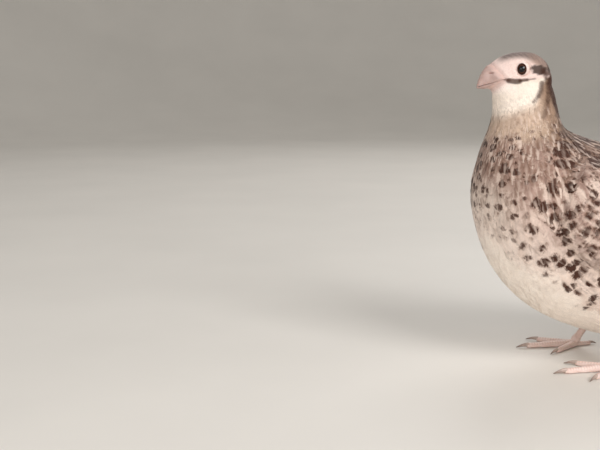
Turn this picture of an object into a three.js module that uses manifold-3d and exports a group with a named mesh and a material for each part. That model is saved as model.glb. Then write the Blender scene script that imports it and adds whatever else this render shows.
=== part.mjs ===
// A life-size coturnix quail standing on both feet, as a still museum model.
// Millimetres, +Z up. The bird faces -Y and its left side is +X. The origin lies on the floor
// under the middle of the model's box. "Forward" below is measured towards -Y from the foot joints.

import * as THREE from "three";
import { mergeVertices } from "three/addons/utils/BufferGeometryUtils.js";
import Module from "manifold-3d";

const wasm = await Module();
wasm.setup();

// Driving dimensions

const GAP = 0.3; // clearance kept between neighbouring pieces
const FOOT_HALF_STANCE = 20; // each foot joint's distance from the midline
const FOOT_FORWARD = 2; // foot joints, forward of the reference point
const EYE_FORWARD = 44.8; // midpoint between the eyes
const EYE_HEIGHT = 130.6;
const HEAD_YAW = THREE.MathUtils.degToRad(-8); // the head is turned a little to the bird's right
const HEAD_PITCH = THREE.MathUtils.degToRad(5); // and tipped a little down
const EYE_RADIUS = 3.5;
const EYE_SIDE = 5; // eyeball centre from the midline
const EYE_BACK = 1.6; // and behind the head's own origin
const LID_THICKNESS = 0.6;
const LID_OPENING = [2.75, 2.45]; // half length and half height of the gap between the lids
const VANE_THICKNESS = 0.7;

// Each station gives the top and bottom of a cross-section as [forward, height], and half its width.
// The torso and neck are one form from the tail root to inside the head.
const BODY_STATIONS = [
  { top: [-71, 46.5], bottom: [-70, 43.5], half: 3 }, // tail root
  { top: [-60, 60], bottom: [-57, 30], half: 14.5 }, // rump
  { top: [-42, 76.5], bottom: [-37, 14.5], half: 25.5 }, // saddle
  { top: [-21, 89.5], bottom: [-14, 8.8], half: 30.5 }, // middle of the back
  { top: [0, 98.6], bottom: [10, 13.2], half: 32 }, // back
  { top: [14.5, 103.2], bottom: [37.6, 26.4], half: 32.5 }, // shoulders
  { top: [22.4, 106.6], bottom: [54.4, 46.6], half: 29.5 }, // breast
  { top: [24.8, 110.2], bottom: [62.6, 74], half: 24 }, // crop
  { top: [25.5, 114.4], bottom: [60.1, 92], half: 17.2 }, // neck root
  { top: [26.4, 119.8], bottom: [54.7, 110], half: 12.2 }, // neck
  { top: [28.9, 127], bottom: [55.2, 121.5], half: 9.6 }, // throat, inside the head
];

// The head's own frame has its origin midway between the eyes. The last four stations are the bill.
const HEAD_STATIONS = [
  { top: [-14.9, -0.6], bottom: [-15, -3.2], half: 1.6 }, // occiput
  { top: [-12.5, 3.6], bottom: [-15.3, -8.6], half: 6.2 }, // back of the skull
  { top: [-7.6, 6.9], bottom: [-11, -13], half: 8.6 }, // ear
  { top: [-0.4, 7.7], bottom: [-1, -13.6], half: 8.8 }, // eye
  { top: [5.6, 6.6], bottom: [7, -12.2], half: 7.2 }, // cheek
  { top: [9.4, 4.9], bottom: [10.8, -9], half: 4.9 }, // forehead and chin
  { top: [12.1, 2.8], bottom: [12.4, -7.5], half: 3.4 },
  { top: [14.3, 0.4], bottom: [14.2, -7.1], half: 2.5 },
  { top: [16.1, -2.7], bottom: [15.8, -6.8], half: 1.5 },
  { top: [17.3, -6], bottom: [16.9, -6.7], half: 0.35 }, // tip of the bill
];

const THIGH_STATIONS = [
  { top: [-22, 37], bottom: [-21, 34], half: 2 },
  { top: [-17, 48], bottom: [-14, 22], half: 9 },
  { top: [-6, 52], bottom: [-4, 13.5], half: 11 },
  { top: [7, 47], bottom: [6, 17], half: 9.5 },
  { top: [14, 36], bottom: [13, 30], half: 3 },
];

const TAIL_STATIONS = [
  { top: [-77, 39], bottom: [-77, 38], half: 5 },
  { top: [-72, 43], bottom: [-72, 39], half: 7.4 },
  { top: [-65, 47.5], bottom: [-65, 40], half: 8.6 },
  { top: [-58, 52], bottom: [-58, 41], half: 9 },
];

// Plain helpers

const vec = (x, y, z) => new THREE.Vector3(x, y, z);
const smooth = (x) => x * x * (3 - 2 * x);
const clamp01 = (x) => Math.min(1, Math.max(0, x));
const mix = (a, b, share) => a + (b - a) * share;

// A small seeded generator, so that every build varies the feathers in the same way.
function seededRandom(seed) {
  let state = seed;
  return () => {
    state = (state * 1664525 + 1013904223) % 4294967296;
    return state / 4294967296;
  };
}

// A closed solid from rings of points, with each end fanned to its middle.
function loft(rings) {
  const sides = rings[0].length;
  const points = rings.flat();
  const faces = [];
  for (let i = 0; i + 1 < rings.length; i++) {
    for (let j = 0; j < sides; j++) {
      const a = i * sides + j;
      const b = i * sides + ((j + 1) % sides);
      faces.push(a, b, b + sides, a, b + sides, a + sides);
    }
  }
  const ends = [
    { first: 0, flip: true },
    { first: (rings.length - 1) * sides, flip: false },
  ];
  for (const end of ends) {
    const middle = vec(0, 0, 0);
    for (let j = 0; j < sides; j++) middle.add(points[end.first + j]);
    const hub = points.push(middle.divideScalar(sides)) - 1;
    for (let j = 0; j < sides; j++) {
      const a = end.first + j;
      const b = end.first + ((j + 1) % sides);
      faces.push(...(end.flip ? [b, a, hub] : [a, b, hub]));
    }
  }
  const geometry = new THREE.BufferGeometry().setFromPoints(points);
  geometry.setIndex(faces);
  return geometry;
}

// A geometry as a solid that can be joined and cut.
function toSolid(geometry, matrix = new THREE.Matrix4()) {
  const bare = geometry.clone().applyMatrix4(matrix);
  for (const name of Object.keys(bare.attributes)) {
    if (name !== "position") bare.deleteAttribute(name);
  }
  const merged = mergeVertices(bare, 1e-4);
  const build = (triVerts) =>
    new wasm.Manifold(
      new wasm.Mesh({ numProp: 3, vertProperties: merged.attributes.position.array, triVerts }),
    );
  const indices = new Uint32Array(merged.index.array);
  const made = build(indices);
  return made.volume() > 0 ? made : build(indices.reverse());
}

function toGeometry(solid) {
  const mesh = solid.getMesh();
  const positions = new Float32Array(mesh.numVert * 3);
  for (let i = 0; i < mesh.numVert; i++) {
    positions.set(mesh.vertProperties.subarray(i * mesh.numProp, i * mesh.numProp + 3), i * 3);
  }
  const geometry = new THREE.BufferGeometry();
  geometry.setAttribute("position", new THREE.BufferAttribute(positions, 3));
  geometry.setIndex(new THREE.BufferAttribute(mesh.triVerts, 1));
  const flat = geometry.toNonIndexed();
  flat.computeVertexNormals();
  return flat;
}

const join = (solids) => solids.reduce((whole, next) => whole.add(next));

// The largest closed surface of a solid, with any sealed hollow filled.
function largest(solid) {
  return solid.decompose().reduce((best, next) => (next.volume() > best.volume() ? next : best));
}

// Cuts away what lies beyond a plane, given a point on it and its normal, both as [forward, height].
function cutBeyond(solid, point, normal, offset = 0) {
  const size = 400;
  const direction = vec(0, -normal[0], normal[1]).normalize();
  const centre = vec(0, -point[0], point[1]).addScaledVector(direction, offset + size / 2);
  const turn = new THREE.Quaternion().setFromUnitVectors(vec(0, 0, 1), direction);
  const box = new THREE.BoxGeometry(size, size, size);
  return solid.subtract(toSolid(box, new THREE.Matrix4().compose(centre, turn, vec(1, 1, 1))));
}

// A smooth form through stations. point() gives a place on its surface: along from 0 to 1, and an angle
// of 0 at the top, a quarter turn on the left side and a half turn at the bottom.
function form(stations, { waist = 0.5, fullness = 1 } = {}) {
  const line = (pick) => new THREE.CatmullRomCurve3(stations.map(pick));
  const top = line((s) => vec(0, -s.top[0], s.top[1]));
  const bottom = line((s) => vec(0, -s.bottom[0], s.bottom[1]));
  const width = line((s) => vec(s.half, 0, 0));
  const bare = (along, angle) => {
    const high = top.getPoint(along);
    const low = bottom.getPoint(along);
    const middle = high.clone().lerp(low, waist);
    const up = Math.cos(angle);
    const side = Math.sin(angle);
    const reach = (up > 0 ? high : low).clone().sub(middle).multiplyScalar(Math.abs(up));
    const half = width.getPoint(along).x * Math.sign(side) * Math.abs(side) ** fullness;
    return middle.add(reach).add(vec(half, 0, 0));
  };
  const normal = (along, angle) => {
    const step = 1e-3;
    const forward = bare(clamp01(along + step), angle).sub(bare(clamp01(along - step), angle));
    const round = bare(along, angle + step).sub(bare(along, angle - step));
    return forward.cross(round).normalize();
  };
  const point = (along, angle, lift = 0) =>
    lift ? bare(along, angle).addScaledVector(normal(along, angle), lift) : bare(along, angle);
  const core = (along) => top.getPoint(along).add(bottom.getPoint(along)).divideScalar(2);
  const solid = (rings, sides, grow = 0, matrix = undefined) => {
    const all = [];
    const ringAt = (along, shift) => {
      const ring = [];
      for (let j = 0; j < sides; j++) {
        ring.push(point(along, (j / sides) * 2 * Math.PI, grow).addScaledVector(shift, grow));
      }
      all.push(ring);
    };
    const still = vec(0, 0, 0);
    if (grow) ringAt(0, core(0).sub(core(0.01)).normalize());
    for (let i = 0; i <= rings; i++) ringAt(i / rings, still);
    if (grow) ringAt(1, core(1).sub(core(0.99)).normalize());
    return toSolid(loft(all), matrix);
  };
  return { point, normal, solid };
}

const material = (colour, roughness) =>
  new THREE.MeshStandardMaterial({ color: colour, roughness, metalness: 0 });
const PLUMAGE = material("#cdb6a5", 0.9);
const CREAM = material("#e8dccb", 0.9);
const WING = material("#bfa594", 0.9);
const BILL = material("#c9a8a0", 0.5);
const EYE = material("#1c0d08", 0.1);
const SHANK = material("#dcb8ad", 0.6);
const CLAW = material("#b9a294", 0.5);

const bird = new THREE.Group();

function addPiece(name, solid, look) {
  const mesh = new THREE.Mesh(toGeometry(largest(solid)), look);
  mesh.name = name;
  bird.add(mesh);
}

// Torso, neck and head as one whole

const body = form(BODY_STATIONS, { fullness: 0.92 });
const headForm = form(HEAD_STATIONS, { fullness: 0.95 });

const headMatrix = new THREE.Matrix4()
  .makeTranslation(0, -EYE_FORWARD, EYE_HEIGHT)
  .multiply(new THREE.Matrix4().makeRotationZ(HEAD_YAW))
  .multiply(new THREE.Matrix4().makeRotationX(HEAD_PITCH));

const bodyGrown = body.solid(30, 28, GAP);
const whole = body.solid(30, 28).add(headForm.solid(22, 20, 0, headMatrix));

const NECK_TOP = { point: [44, 118.8], normal: [0.06, 1] };
const NECK_ROOT = { point: [40, 102], normal: [0.38, 1] };

function between(solid, lower, upper) {
  let cut = solid;
  if (upper) cut = cutBeyond(cut, upper.point, upper.normal, -GAP / 2);
  if (lower) cut = cutBeyond(cut, lower.point, lower.normal.map((n) => -n), -GAP / 2);
  return cut;
}

addPiece("torso", between(whole, null, NECK_ROOT), PLUMAGE);
addPiece("neck", between(whole, NECK_ROOT, NECK_TOP), CREAM);

// Head: sockets for the eyeballs, lids round them and the corners of the mouth

function eyeMatrix(side) {
  const centre = vec(side * EYE_SIDE, EYE_BACK, 0);
  const look = vec(side, -0.22, 0.04).normalize();
  const turn = new THREE.Quaternion().setFromUnitVectors(vec(0, 0, 1), look);
  return headMatrix.clone().multiply(new THREE.Matrix4().compose(centre, turn, vec(1, 1, 1)));
}

let head = cutBeyond(whole, NECK_TOP.point, NECK_TOP.normal.map((n) => -n), -GAP / 2);
for (const side of [1, -1]) {
  const lids = new THREE.IcosahedronGeometry(EYE_RADIUS + GAP + LID_THICKNESS, 2);
  const opening = new THREE.CylinderGeometry(1, 1, 8, 16);
  opening.rotateX(Math.PI / 2);
  opening.scale(...LID_OPENING, 1);
  opening.translate(0, 0, 5);
  const socket = new THREE.IcosahedronGeometry(EYE_RADIUS + GAP, 2);
  head = head.add(toSolid(lids, eyeMatrix(side)));
  for (const space of [socket, opening]) head = head.subtract(toSolid(space, eyeMatrix(side)));
  addPiece(
    side > 0 ? "eye_left" : "eye_right",
    toSolid(new THREE.IcosahedronGeometry(EYE_RADIUS, 2), eyeMatrix(side)),
    EYE,
  );
}

// Bill: both mandibles are parted from the face and from each other along the mouth line

const CORNER = [5.6, -3.6]; // corner of the mouth, in the head's frame
const TIP = [18, -6.2];
const CULMEN_ROOT = [10.4, 4];
const CHIN_ROOT = [12, -8.4];

// A prism across the head from a convex outline of [forward, height] points, its edges moved in by inset.
function headPrism(outline, inset) {
  const middle = outline.reduce((sum, p) => [sum[0] + p[0], sum[1] + p[1]], [0, 0]).map((n) => n / outline.length);
  let block = toSolid(new THREE.BoxGeometry(60, 60, 60));
  outline.forEach((p, i) => {
    const q = outline[(i + 1) % outline.length];
    let normal = [q[1] - p[1], p[0] - q[0]];
    if ((middle[0] - p[0]) * normal[0] + (middle[1] - p[1]) * normal[1] > 0) normal = normal.map((n) => -n);
    block = cutBeyond(block, p, normal, -inset);
  });
  return block.transform(headMatrix.elements);
}

const upperOutline = [CORNER, TIP, [24, 8], CULMEN_ROOT];
const lowerOutline = [CORNER, CHIN_ROOT, [24, -12], TIP];
const NOSTRIL = { forward: 11.4, side: 3.3, height: -0.9 };

let upper = head.intersect(headPrism(upperOutline, GAP / 2));
for (const side of [1, -1]) {
  const hole = new THREE.IcosahedronGeometry(0.6, 1);
  hole.scale(1.2, 2, 0.8);
  hole.rotateX(0.5);
  hole.translate(side * NOSTRIL.side, -NOSTRIL.forward, NOSTRIL.height);
  upper = upper.subtract(toSolid(hole, headMatrix));
}
addPiece("bill_upper", upper, BILL);
addPiece("bill_lower", head.intersect(headPrism(lowerOutline, GAP / 2)), BILL);
addPiece("head", head.subtract(headPrism(upperOutline, -GAP / 2)).subtract(headPrism(lowerOutline, -GAP / 2)), CREAM);

// Feather vanes

// Half widths along a vane from its root to its rounded tip, as [share of length, share of half width].
const LONG_VANE = [[0, 0.6], [0.3, 0.92], [0.62, 1], [0.87, 0.78], [1, 0.28]];
const SHORT_VANE = [[0, 0.7], [0.5, 1], [0.82, 0.82], [1, 0.3]];

// One vane as a thin closed plate. place(s, r, lift) maps a surface's millimetres along and across to space,
// and height(s, r) is how high what lies under the vane stands. The root is sunk and the tip stands clear.
function vane(place, height, { s, r, length, width, angle = 0, root = -0.5, tip = 0.9, tilt = 0.45 }) {
  const outline = length > 20 ? LONG_VANE : SHORT_VANE;
  const rings = outline.map(([share, wide]) => {
    const half = (width / 2) * wide;
    const corner = (edge, depth) => {
      const across = edge * half;
      const sAt = s + share * length * Math.cos(angle) - across * Math.sin(angle);
      const rAt = r + share * length * Math.sin(angle) + across * Math.cos(angle);
      return place(sAt, rAt, height(sAt, rAt) + mix(root, tip, Math.sqrt(share)) + edge * tilt * wide - depth);
    };
    return [corner(-1, 0), corner(1, 0), corner(1, VANE_THICKNESS), corner(-1, VANE_THICKNESS)];
  });
  return toSolid(loft(rings));
}

// Folded wings, which lie on the torso from the shoulder to beside the rump

const WING_AXIS_ANGLE = THREE.MathUtils.degToRad(74);
const WING_FRONT = 0.575; // the bend of the wing, as a place along the body form
const WING_LENGTH = 92;
const WING_HALF_DEPTH = 23;
const WING_THICKNESS = 4.2;

// Arc length along the wing's axis line, counted backwards from the bend of the wing.
const axisTable = [{ s: 0, along: WING_FRONT }];
for (let along = WING_FRONT; along > 0.01; along -= 0.005) {
  const last = axisTable[axisTable.length - 1];
  const step = body.point(last.along, WING_AXIS_ANGLE).distanceTo(body.point(along - 0.005, WING_AXIS_ANGLE));
  axisTable.push({ s: last.s + step, along: along - 0.005 });
}

function alongAt(s) {
  let i = 1;
  while (i + 1 < axisTable.length && axisTable[i].s < s) i++;
  const a = axisTable[i - 1];
  const b = axisTable[i];
  return Math.max(0.001, mix(a.along, b.along, (s - a.s) / (b.s - a.s)));
}

// s runs back from the bend of the wing and r runs down from its axis line, in millimetres.
function onFlank(side) {
  return (s, r, lift) => {
    const along = alongAt(s);
    const top = body.point(along, 0);
    const bottom = body.point(along, Math.PI);
    const sideways = body.point(along, Math.PI / 2).x;
    const radius = (top.distanceTo(bottom) / 2 + sideways) / 2;
    const angle = WING_AXIS_ANGLE + r / radius;
    const p = body.point(along, angle, lift);
    return vec(side * p.x, p.y, p.z);
  };
}

const wingDepth = (s) => {
  const front = Math.sqrt(1 - (1 - clamp01((s + 3) / 28)) ** 2);
  const back = Math.sqrt(1 - clamp01((s - 28) / (WING_LENGTH - 24)) ** 2);
  return WING_HALF_DEPTH * front * back;
};
// How high the wing's core stands over the torso, which falls to nothing past its edge.
const wingHeight = (s, r) => {
  const edge = clamp01(Math.abs(r) / Math.max(wingDepth(s), 0.1));
  const share = clamp01(s / WING_LENGTH);
  const front = Math.sqrt(clamp01((s + 2) / 14));
  return GAP + 0.5 + (WING_THICKNESS - 0.5) * Math.sqrt(1 - edge ** 2) * mix(1, 0.2, smooth(share)) * front;
};

function wingCore(side) {
  const place = onFlank(side);
  const rings = [];
  const columns = 5;
  const rows = 8;
  for (let i = 0; i <= rows; i++) {
    const s = mix(0.5, WING_LENGTH - 12, i / rows);
    const depth = wingDepth(s) * 0.97;
    const ring = [];
    for (let j = 0; j <= columns; j++) {
      const r = ((j / columns) * 2 - 1) * depth;
      ring.push(place(s, r, wingHeight(s, r)));
    }
    for (let j = columns; j >= 0; j -= columns) ring.push(place(s, ((j / columns) * 2 - 1) * depth, -1));
    rings.push(ring);
  }
  return toSolid(loft(rings));
}

// Each tier: how many vanes it has, where the roots of its first (lowest) and last lie, and their size.
const WING_TIERS = [
  { name: "primaries", count: 3, s: [56, 62], r: [12, 4], length: [30, 29], width: 9, angle: [-0.12, 0], tip: 0.2 },
  { name: "secondaries", count: 4, s: [37, 36], r: [18, 1], length: [28, 37], width: 11, angle: [-0.2, -0.04], tip: 0.6 },
  { name: "tertials", count: 3, s: [38, 42], r: [-3, -12], length: [40, 36], width: 13, angle: [-0.02, 0.08], tip: 1.3 },
  { name: "greater coverts", count: 5, s: [30, 27], r: [17, -12], length: [17, 19], width: 11, angle: [-0.2, 0.06], tip: 1.5 },
  { name: "median coverts", count: 5, s: [20, 18], r: [16, -14], length: [15, 15], width: 10.6, angle: [-0.16, 0.06], tip: 1.5 },
  { name: "lesser coverts", count: 5, s: [11, 10], r: [15, -13], length: [13, 13], width: 10, angle: [-0.14, 0.1], tip: 1.4 },
  { name: "foremost coverts", count: 3, s: [2.5, 2.5], r: [9, -8], length: [12, 12], width: 10, angle: [-0.1, 0.1], tip: 1.3 },
  { name: "scapulars", count: 4, s: [9, 38], r: [-19, -17], length: [20, 24], width: 11, angle: [0.02, 0.1], tip: 1.6 },
];

function wing(side) {
  const place = onFlank(side);
  const random = seededRandom(7);
  const vary = (size) => size * (0.96 + random() * 0.08);
  const pieces = [wingCore(side)];
  for (const tier of WING_TIERS) {
    for (let i = 0; i < tier.count; i++) {
      const share = i / (tier.count - 1);
      pieces.push(
        vane(place, wingHeight, {
          s: mix(...tier.s, share) + random() - 0.5,
          r: mix(...tier.r, share),
          length: vary(mix(...tier.length, share)),
          width: vary(tier.width),
          angle: mix(...tier.angle, share),
          tip: tier.tip,
        }),
      );
    }
  }
  return join(pieces).subtract(bodyGrown);
}

addPiece("wing_left", wing(1), WING);
addPiece("wing_right", wing(-1), WING);

// Tail: a core, the fan of tail feathers and the coverts above them

const TAIL_FEATHERS = 8;
const TAIL_COVERTS = 5;

// A plane sloping down backwards: s runs down it and r to the bird's left, arched from side to side.
function slope(forward, height, degrees, arch) {
  const angle = THREE.MathUtils.degToRad(degrees);
  const back = vec(0, Math.cos(angle), -Math.sin(angle));
  const up = vec(0, Math.sin(angle), Math.cos(angle));
  return (s, r, lift) =>
    vec(r, -forward, height).addScaledVector(back, s).addScaledVector(up, lift - arch * r * r);
}

function tail() {
  const fan = slope(-60, 52, 34, 0.02);
  const pieces = [form(TAIL_STATIONS).solid(6, 12)];
  for (let i = 0; i < TAIL_FEATHERS; i++) {
    const share = (i / (TAIL_FEATHERS - 1)) * 2 - 1;
    const height = () => mix(0.6, -3.4, Math.abs(share));
    const size = { length: mix(31, 26, Math.abs(share)), width: 9.4, angle: share * 0.2 };
    const lie = { root: 0, tip: 0.4, tilt: -Math.sign(share) * 0.3 };
    pieces.push(vane(fan, height, { s: -1, r: share * 5.5, ...size, ...lie }));
  }
  for (let i = 0; i < TAIL_COVERTS; i++) {
    const share = (i / (TAIL_COVERTS - 1)) * 2 - 1;
    const height = () => mix(0.5, -2.7, Math.abs(share)) - (i % 2) * 0.4;
    const size = { length: 17 - (i % 2) * 1.5, width: 10.5, angle: share * 0.14 };
    const lie = { root: 0.8, tip: 0.3, tilt: -Math.sign(share) * 0.3 };
    pieces.push(vane(fan, height, { s: 2, r: share * 7.5, ...size, ...lie }));
  }
  return join(pieces).subtract(bodyGrown);
}

addPiece("tail", tail(), WING);

// Legs: feathered thighs against the belly, scaled shanks, toes with pads and claws

const THIGH_SIDE = 19.5;
const HOCK = { back: 15, height: 24 };
const SHANK_RADIUS = 1.75;
const FOOT_HEIGHT = 3;
const SCUTE_STEP = 0.22;

const thighForm = form(THIGH_STATIONS);
const thighMatrix = (side) => new THREE.Matrix4().makeTranslation(side * THIGH_SIDE, 0, 0);
// A tube along a straight run whose front is stepped into overlapping scutes.
function scutedRod(start, end, radius, scutes, sides) {
  const run = end.clone().sub(start);
  const turn = new THREE.Quaternion().setFromUnitVectors(vec(0, 0, 1), run.clone().normalize());
  const rings = [];
  const ring = (share, raised) => {
    const points = [];
    const size = radius(share);
    for (let j = 0; j < sides; j++) {
      const angle = (j / sides) * 2 * Math.PI;
      const front = clamp01(-Math.sin(angle) * 1.6);
      const reach = size + (raised ? SCUTE_STEP * front : 0);
      const spot = vec(Math.cos(angle) * reach * 0.88, Math.sin(angle) * reach, share * run.length());
      points.push(spot.applyQuaternion(turn).add(start));
    }
    return points;
  };
  for (let i = 0; i < scutes; i++) {
    rings.push(ring(i / scutes, false));
    rings.push(ring((i + 0.25) / scutes, true));
  }
  rings.push(ring(1, false));
  return toSolid(loft(rings));
}

// Angle from straight ahead, length without the claw, and thickness at the root.
const TOES = [
  { name: "middle", angle: 0.04, length: 24, root: 1.65 },
  { name: "outer", angle: 0.66, length: 18.5, root: 1.5 },
  { name: "inner", angle: -0.62, length: 17, root: 1.5 },
  { name: "hind", angle: 3.0, length: 8.5, root: 1.2 },
];
const TOE_START = 4.9; // from the foot joint's middle to where each toe is parted from the foot
const CLAW_LENGTH = 5;

// A toe lies along +X before it is turned: pads swell below it and scutes step its top.
function toe(length, root) {
  const rings = [];
  const joints = Math.max(3, Math.round(length / 4));
  const sides = 8;
  const ring = (share, raised) => {
    const thick = mix(root, root * 0.66, share);
    const pad = 0.16 * Math.sin(share * Math.PI * (joints / 2.2)) ** 2;
    const points = [];
    for (let j = 0; j < sides; j++) {
      const angle = (j / sides) * 2 * Math.PI;
      const up = Math.sin(angle);
      const step = raised ? SCUTE_STEP * clamp01(up * 1.4) : 0;
      const reach = thick * (1 + (up < 0 ? pad : 0)) + step;
      points.push(vec(share * length, Math.cos(angle) * reach, thick * 0.86 + up * reach));
    }
    return points;
  };
  for (let i = 0; i < joints; i++) {
    rings.push(ring(i / joints, false));
    rings.push(ring((i + 0.3) / joints, true));
  }
  rings.push(ring(1, false));
  return toSolid(loft(rings));
}

// A claw continues the toe, curving down to just above the floor.
function claw(length, root, toeLength) {
  const rings = [];
  const steps = 4;
  const start = root * 0.66 * 0.92;
  for (let i = 0; i <= steps; i++) {
    const share = i / steps;
    const thick = mix(start, 0.22, share);
    const drop = mix(root * 0.66, 0.45, smooth(share)) + 0.35 * Math.sin(Math.PI * share);
    const points = [];
    for (let j = 0; j < 6; j++) {
      const angle = (j / 6) * 2 * Math.PI;
      points.push(vec(toeLength + GAP + share * length, Math.cos(angle) * thick * 0.8, drop + Math.sin(angle) * thick));
    }
    rings.push(points);
  }
  return toSolid(loft(rings));
}

const floor = (solid) => cutBeyond(solid, [0, 0], [0, -1]);

function leg(side) {
  const label = side > 0 ? "left" : "right";
  const thigh = thighForm.solid(12, 18, 0, thighMatrix(side)).subtract(bodyGrown);
  const thighGrown = thighForm.solid(12, 18, GAP, thighMatrix(side)).add(bodyGrown);
  const joint = vec(side * FOOT_HALF_STANCE, -FOOT_FORWARD, FOOT_HEIGHT);
  const hock = vec(side * (FOOT_HALF_STANCE - 0.5), -FOOT_FORWARD + HOCK.back, HOCK.height);
  const shank = scutedRod(joint, hock, (share) => SHANK_RADIUS * mix(1.05, 1.15, smooth(share)), 8, 8);
  const hub = new THREE.IcosahedronGeometry(2.6, 1);
  hub.translate(joint.x, joint.y, 2.2);
  let foot = shank.add(toSolid(hub));
  for (const spec of TOES) {
    const matrix = new THREE.Matrix4()
      .makeTranslation(joint.x, joint.y, 0)
      .multiply(new THREE.Matrix4().makeRotationZ(-Math.PI / 2 + side * spec.angle));
    const digit = toe(spec.length, spec.root);
    const front = new THREE.BoxGeometry(60, 20, 20);
    const parting = (offset) => toSolid(front.clone().translate(TOE_START + offset + 30, 0, 0));
    foot = foot.add(digit.subtract(parting(-GAP / 2)).transform(matrix.elements));
    const free = digit.intersect(parting(GAP / 2)).transform(matrix.elements);
    const clawLength = spec.name === "hind" ? 3 : CLAW_LENGTH;
    const nail = claw(clawLength, spec.root, spec.length).transform(matrix.elements);
    addPiece(`toe_${spec.name}_${label}`, floor(free), SHANK);
    addPiece(`claw_${spec.name}_${label}`, nail, CLAW);
  }
  addPiece(`thigh_${label}`, thigh, CREAM);
  addPiece(`shank_${label}`, floor(foot).subtract(thighGrown), SHANK);
}

leg(1);
leg(-1);

// The origin goes under the middle of the finished model's box.
const box = new THREE.Box3().setFromObject(bird);
bird.position.set(-(box.min.x + box.max.x) / 2, -(box.min.y + box.max.y) / 2, -box.min.z);

export default bird;
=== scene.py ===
"""A life-size coturnix quail, standing still: skin, a coat of small feathers, folded wings, tail, bill, eyes, legs."""

import math
from functools import partial

import bpy
import numpy as np
from mathutils import Matrix, Vector
from mathutils.bvhtree import BVHTree
from mathutils.kdtree import KDTree


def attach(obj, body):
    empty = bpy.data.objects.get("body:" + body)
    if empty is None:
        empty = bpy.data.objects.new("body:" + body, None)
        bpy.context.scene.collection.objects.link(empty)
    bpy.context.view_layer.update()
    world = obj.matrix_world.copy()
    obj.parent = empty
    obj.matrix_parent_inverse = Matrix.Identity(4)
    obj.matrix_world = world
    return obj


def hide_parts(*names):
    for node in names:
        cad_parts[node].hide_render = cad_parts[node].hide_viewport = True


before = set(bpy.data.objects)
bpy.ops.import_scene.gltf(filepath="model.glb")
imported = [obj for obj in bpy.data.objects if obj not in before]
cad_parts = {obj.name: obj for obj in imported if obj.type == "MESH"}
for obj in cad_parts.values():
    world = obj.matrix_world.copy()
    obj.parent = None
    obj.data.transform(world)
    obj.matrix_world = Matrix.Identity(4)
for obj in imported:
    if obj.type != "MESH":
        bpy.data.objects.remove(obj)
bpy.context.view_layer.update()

bl_info = {
    "name": "Coturnix quail",
    "version": (1, 0, 0),
    "blender": (4, 5, 0),
    "location": "View3D > Sidebar > Quail",
    "description": "Builds a life-size coturnix quail with its coat of feathers",
    "category": "Add Mesh",
}

# Shape of the bird in millimetres, as the solids have it. The bird faces -Y, its left side is +X, and "forward" is
# measured towards -Y from the foot joints. Each station has the top and bottom of a cross-section as (forward,
# height), and half its width.

FORWARD_SHIFT = -10.993  # from that measure to the frame's own Y
BODY = (
    ((-71, 46.5), (-70, 43.5), 3),
    ((-60, 60), (-57, 30), 14.5),
    ((-42, 76.5), (-37, 14.5), 25.5),
    ((-21, 89.5), (-14, 8.8), 30.5),
    ((0, 98.6), (10, 13.2), 32),
    ((14.5, 103.2), (37.6, 26.4), 32.5),
    ((22.4, 106.6), (54.4, 46.6), 29.5),
    ((24.8, 110.2), (62.6, 74), 24),
    ((25.5, 114.4), (60.1, 92), 17.2),
    ((26.4, 119.8), (54.7, 110), 12.2),
    ((28.9, 127), (55.2, 121.5), 9.6),
)
HEAD = (
    ((-14.9, -0.6), (-15, -3.2), 1.6),
    ((-12.5, 3.6), (-15.3, -8.6), 6.2),
    ((-7.6, 6.9), (-11, -13), 8.6),
    ((-0.4, 7.7), (-1, -13.6), 8.8),
    ((5.6, 6.6), (7, -12.2), 7.2),
    ((9.4, 4.9), (10.8, -9), 4.9),
    ((12.1, 2.8), (12.4, -7.5), 3.4),
    ((14.3, 0.4), (14.2, -7.1), 2.5),
    ((16.1, -2.7), (15.8, -6.8), 1.5),
    ((17.3, -6), (16.9, -6.7), 0.35),
)
THIGH = (
    ((-22, 37), (-21, 34), 2),
    ((-17, 48), (-14, 22), 9),
    ((-6, 52), (-4, 13.5), 11),
    ((7, 47), (6, 17), 9.5),
    ((14, 36), (13, 30), 3),
)
HEAD_MATRIX = (
    Matrix.Translation((0, -44.8, 130.6))
    @ Matrix.Rotation(math.radians(-8), 4, "Z")
    @ Matrix.Rotation(math.radians(5), 4, "X")
)
HEAD_INVERSE = np.array(HEAD_MATRIX.inverted())
HEAD_TURN = np.array(HEAD_MATRIX)[:3, :3]
THIGH_OUT = 19.5  # from the midline to the middle of a thigh
EYE_PLACE = (5.0, 1.6, 0.0)
MOUTH_CORNER, BILL_TIP, CULMEN_ROOT, CHIN_ROOT = (5.6, -3.6), (18, -6.2), (10.4, 4), (12, -8.4)
BILL_ROOT = [CULMEN_ROOT, MOUTH_CORNER, CHIN_ROOT]


def linear(code):
    """A colour given as sRGB hex, as the linear values that Blender works in."""
    values = (int(code[i : i + 2], 16) / 255 for i in (1, 3, 5))
    return tuple(v / 12.92 if v <= 0.04045 else ((v + 0.055) / 1.055) ** 2.4 for v in values)


def colour(name, description, code):
    return bpy.props.FloatVectorProperty(
        name=name, description=description, subtype="COLOR", size=3, min=0, max=1, default=linear(code)
    )


def length(name, description, millimetres):
    return bpy.props.FloatProperty(
        name=name, description=description, subtype="DISTANCE", unit="LENGTH", default=millimetres / 1000, min=0
    )


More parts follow.
